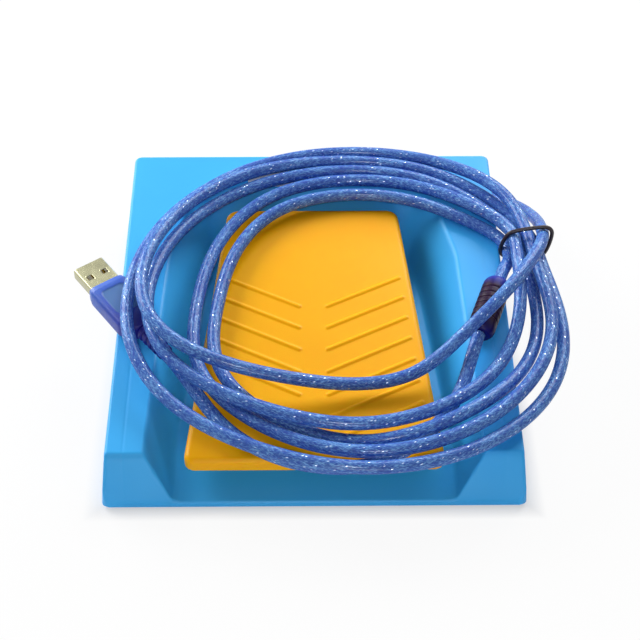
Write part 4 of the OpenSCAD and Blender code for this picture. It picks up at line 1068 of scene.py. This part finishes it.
def buildLabel():
    g = label
    last = g["half"] - g["corner"] - g["lastMark"]
    outline = roundRect(g["half"], (g["rear"] - g["front"]) / 2, g["corner"],
                        np.linspace(g["firstMark"], last, g["marks"]))
    rings = np.array(g["rings"])[:, None]
    x = rings * outline[:, 0]
    y = (g["front"] + g["rear"]) / 2 + rings * outline[:, 1]
    z = guardZ(x, y) + g["thick"] * np.array(g["lift"])[:, None]
    makePiece("deck_label", np.stack([x, y, z], -1), gridQuads(x), "white_plastic",
              material=labelFinish)


buildLabel()
print("label made")


# finishes of the CAD nodes that stay

for name, node in frame["nodes"].items():
    if name in slotOf:
        node.data.materials.clear()
        node.data.materials.append(finishes[slotOf[name]])


# floor, light and white surroundings, in metres and watts

studio = {
    "floorSize": 3.0, "floorTone": 0.9, "floorWhite": 0.93, "skyLight": 0.01,
    "footSide": 0.006, "footReach": 0.005, "farReach": 0.3,  # where the floor turns white
    "lamps": {
        "leftSoftbox": {"place": (-0.5, 0.4, 0.36), "size": 0.5, "power": 6.5},
        "rightSoftbox": {"place": (0.3, 0.5, 0.48), "size": 0.5, "power": 5.0},
        "frontFill": {"place": (0.0, -0.5, 0.52), "size": 0.04, "power": 0.9},
        "lowFront": {"place": (0.0, -0.8, 0.14), "size": 0.3, "power": 1.5},
    },
    "aim": (0, 0, 0.02),
}


def shownDirectly(tree):  # 1 for rays that show a surface itself, 0 for those that carry light
    paths = addNode(tree, "LightPath").outputs
    seen = calc(tree, "MAXIMUM", paths["Is Camera Ray"], paths["Is Glossy Ray"])
    return calc(tree, "MAXIMUM", seen, paths["Is Transmission Ray"])


def outsideOf(tree, low, high):  # how far a place on the floor lies outside a rectangle
    at = partsOf(tree, coords(tree))
    gaps = []
    for k in range(2):
        middle, half = (low[k] + high[k]) / 2, (high[k] - low[k]) / 2
        off = calc(tree, "ABSOLUTE", calc(tree, "SUBTRACT", at[k], middle))
        gaps.append(calc(tree, "SUBTRACT", off, half))
    return calc(tree, "MAXIMUM", *gaps)


def addFloor(s):
    # the floor keeps its own shade under the base and whitens away from it
    material, tree, shader = newMaterial("paleFloor", {
        "Roughness": 0.9, "Specular IOR Level": 0.0, "Base Color": (s["floorTone"],) * 3 + (1,)})
    white = addNode(tree, "Emission", {"Color": (1, 1, 1, 1), "Strength": 1.0})
    gap = outsideOf(tree, *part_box("base_housing"))
    near = spread(tree, gap, 0, s["floorWhite"], -s["footSide"], s["footReach"])
    far = spread(tree, gap, 0, 1 - s["floorWhite"], s["footReach"], s["farReach"])
    share = calc(tree, "MULTIPLY", shownDirectly(tree), calc(tree, "ADD", near, far))
    both = addNode(tree, "MixShader", {0: share, 1: shader.outputs[0], 2: white.outputs[0]})
    tree.links.new(both.outputs[0], tree.nodes["Material Output"].inputs["Surface"])
    r = s["floorSize"] / 2
    mesh = bpy.data.meshes.new("paleFloor")
    mesh.from_pydata([(-r, -r, 0), (r, -r, 0), (r, r, 0), (-r, r, 0)], [], [(0, 1, 2, 3)])
    mesh.materials.append(material)
    floor = putObject("paleFloor", mesh)


def addLamp(name, lamp, aim):
    data = bpy.data.lights.new(name, "AREA")
    data.size = lamp["size"]
    data.energy = lamp["power"]
    place = np.array(lamp["place"])
    back = unit(place - np.array(aim))
    side = unit(np.cross(np.array([0.0, 0, 1]), back))
    putObject(name, data, [side, np.cross(back, side), back, place])


def addStudio(s):
    world = bpy.data.worlds.new("whiteRoom")
    scene.world = world
    world.use_nodes = True
    tree = world.node_tree
    back = tree.nodes["Background"]
    back.inputs["Color"].default_value = (1, 1, 1, 1)
    shownLight = spread(tree, shownDirectly(tree), s["skyLight"], 1.0)
    tree.links.new(shownLight, back.inputs["Strength"])
    addFloor(s)
    for name, lamp in s["lamps"].items():
        addLamp(name, lamp, s["aim"])


addStudio(studio)
scene.view_settings.view_transform = "Standard"
print("studio set")
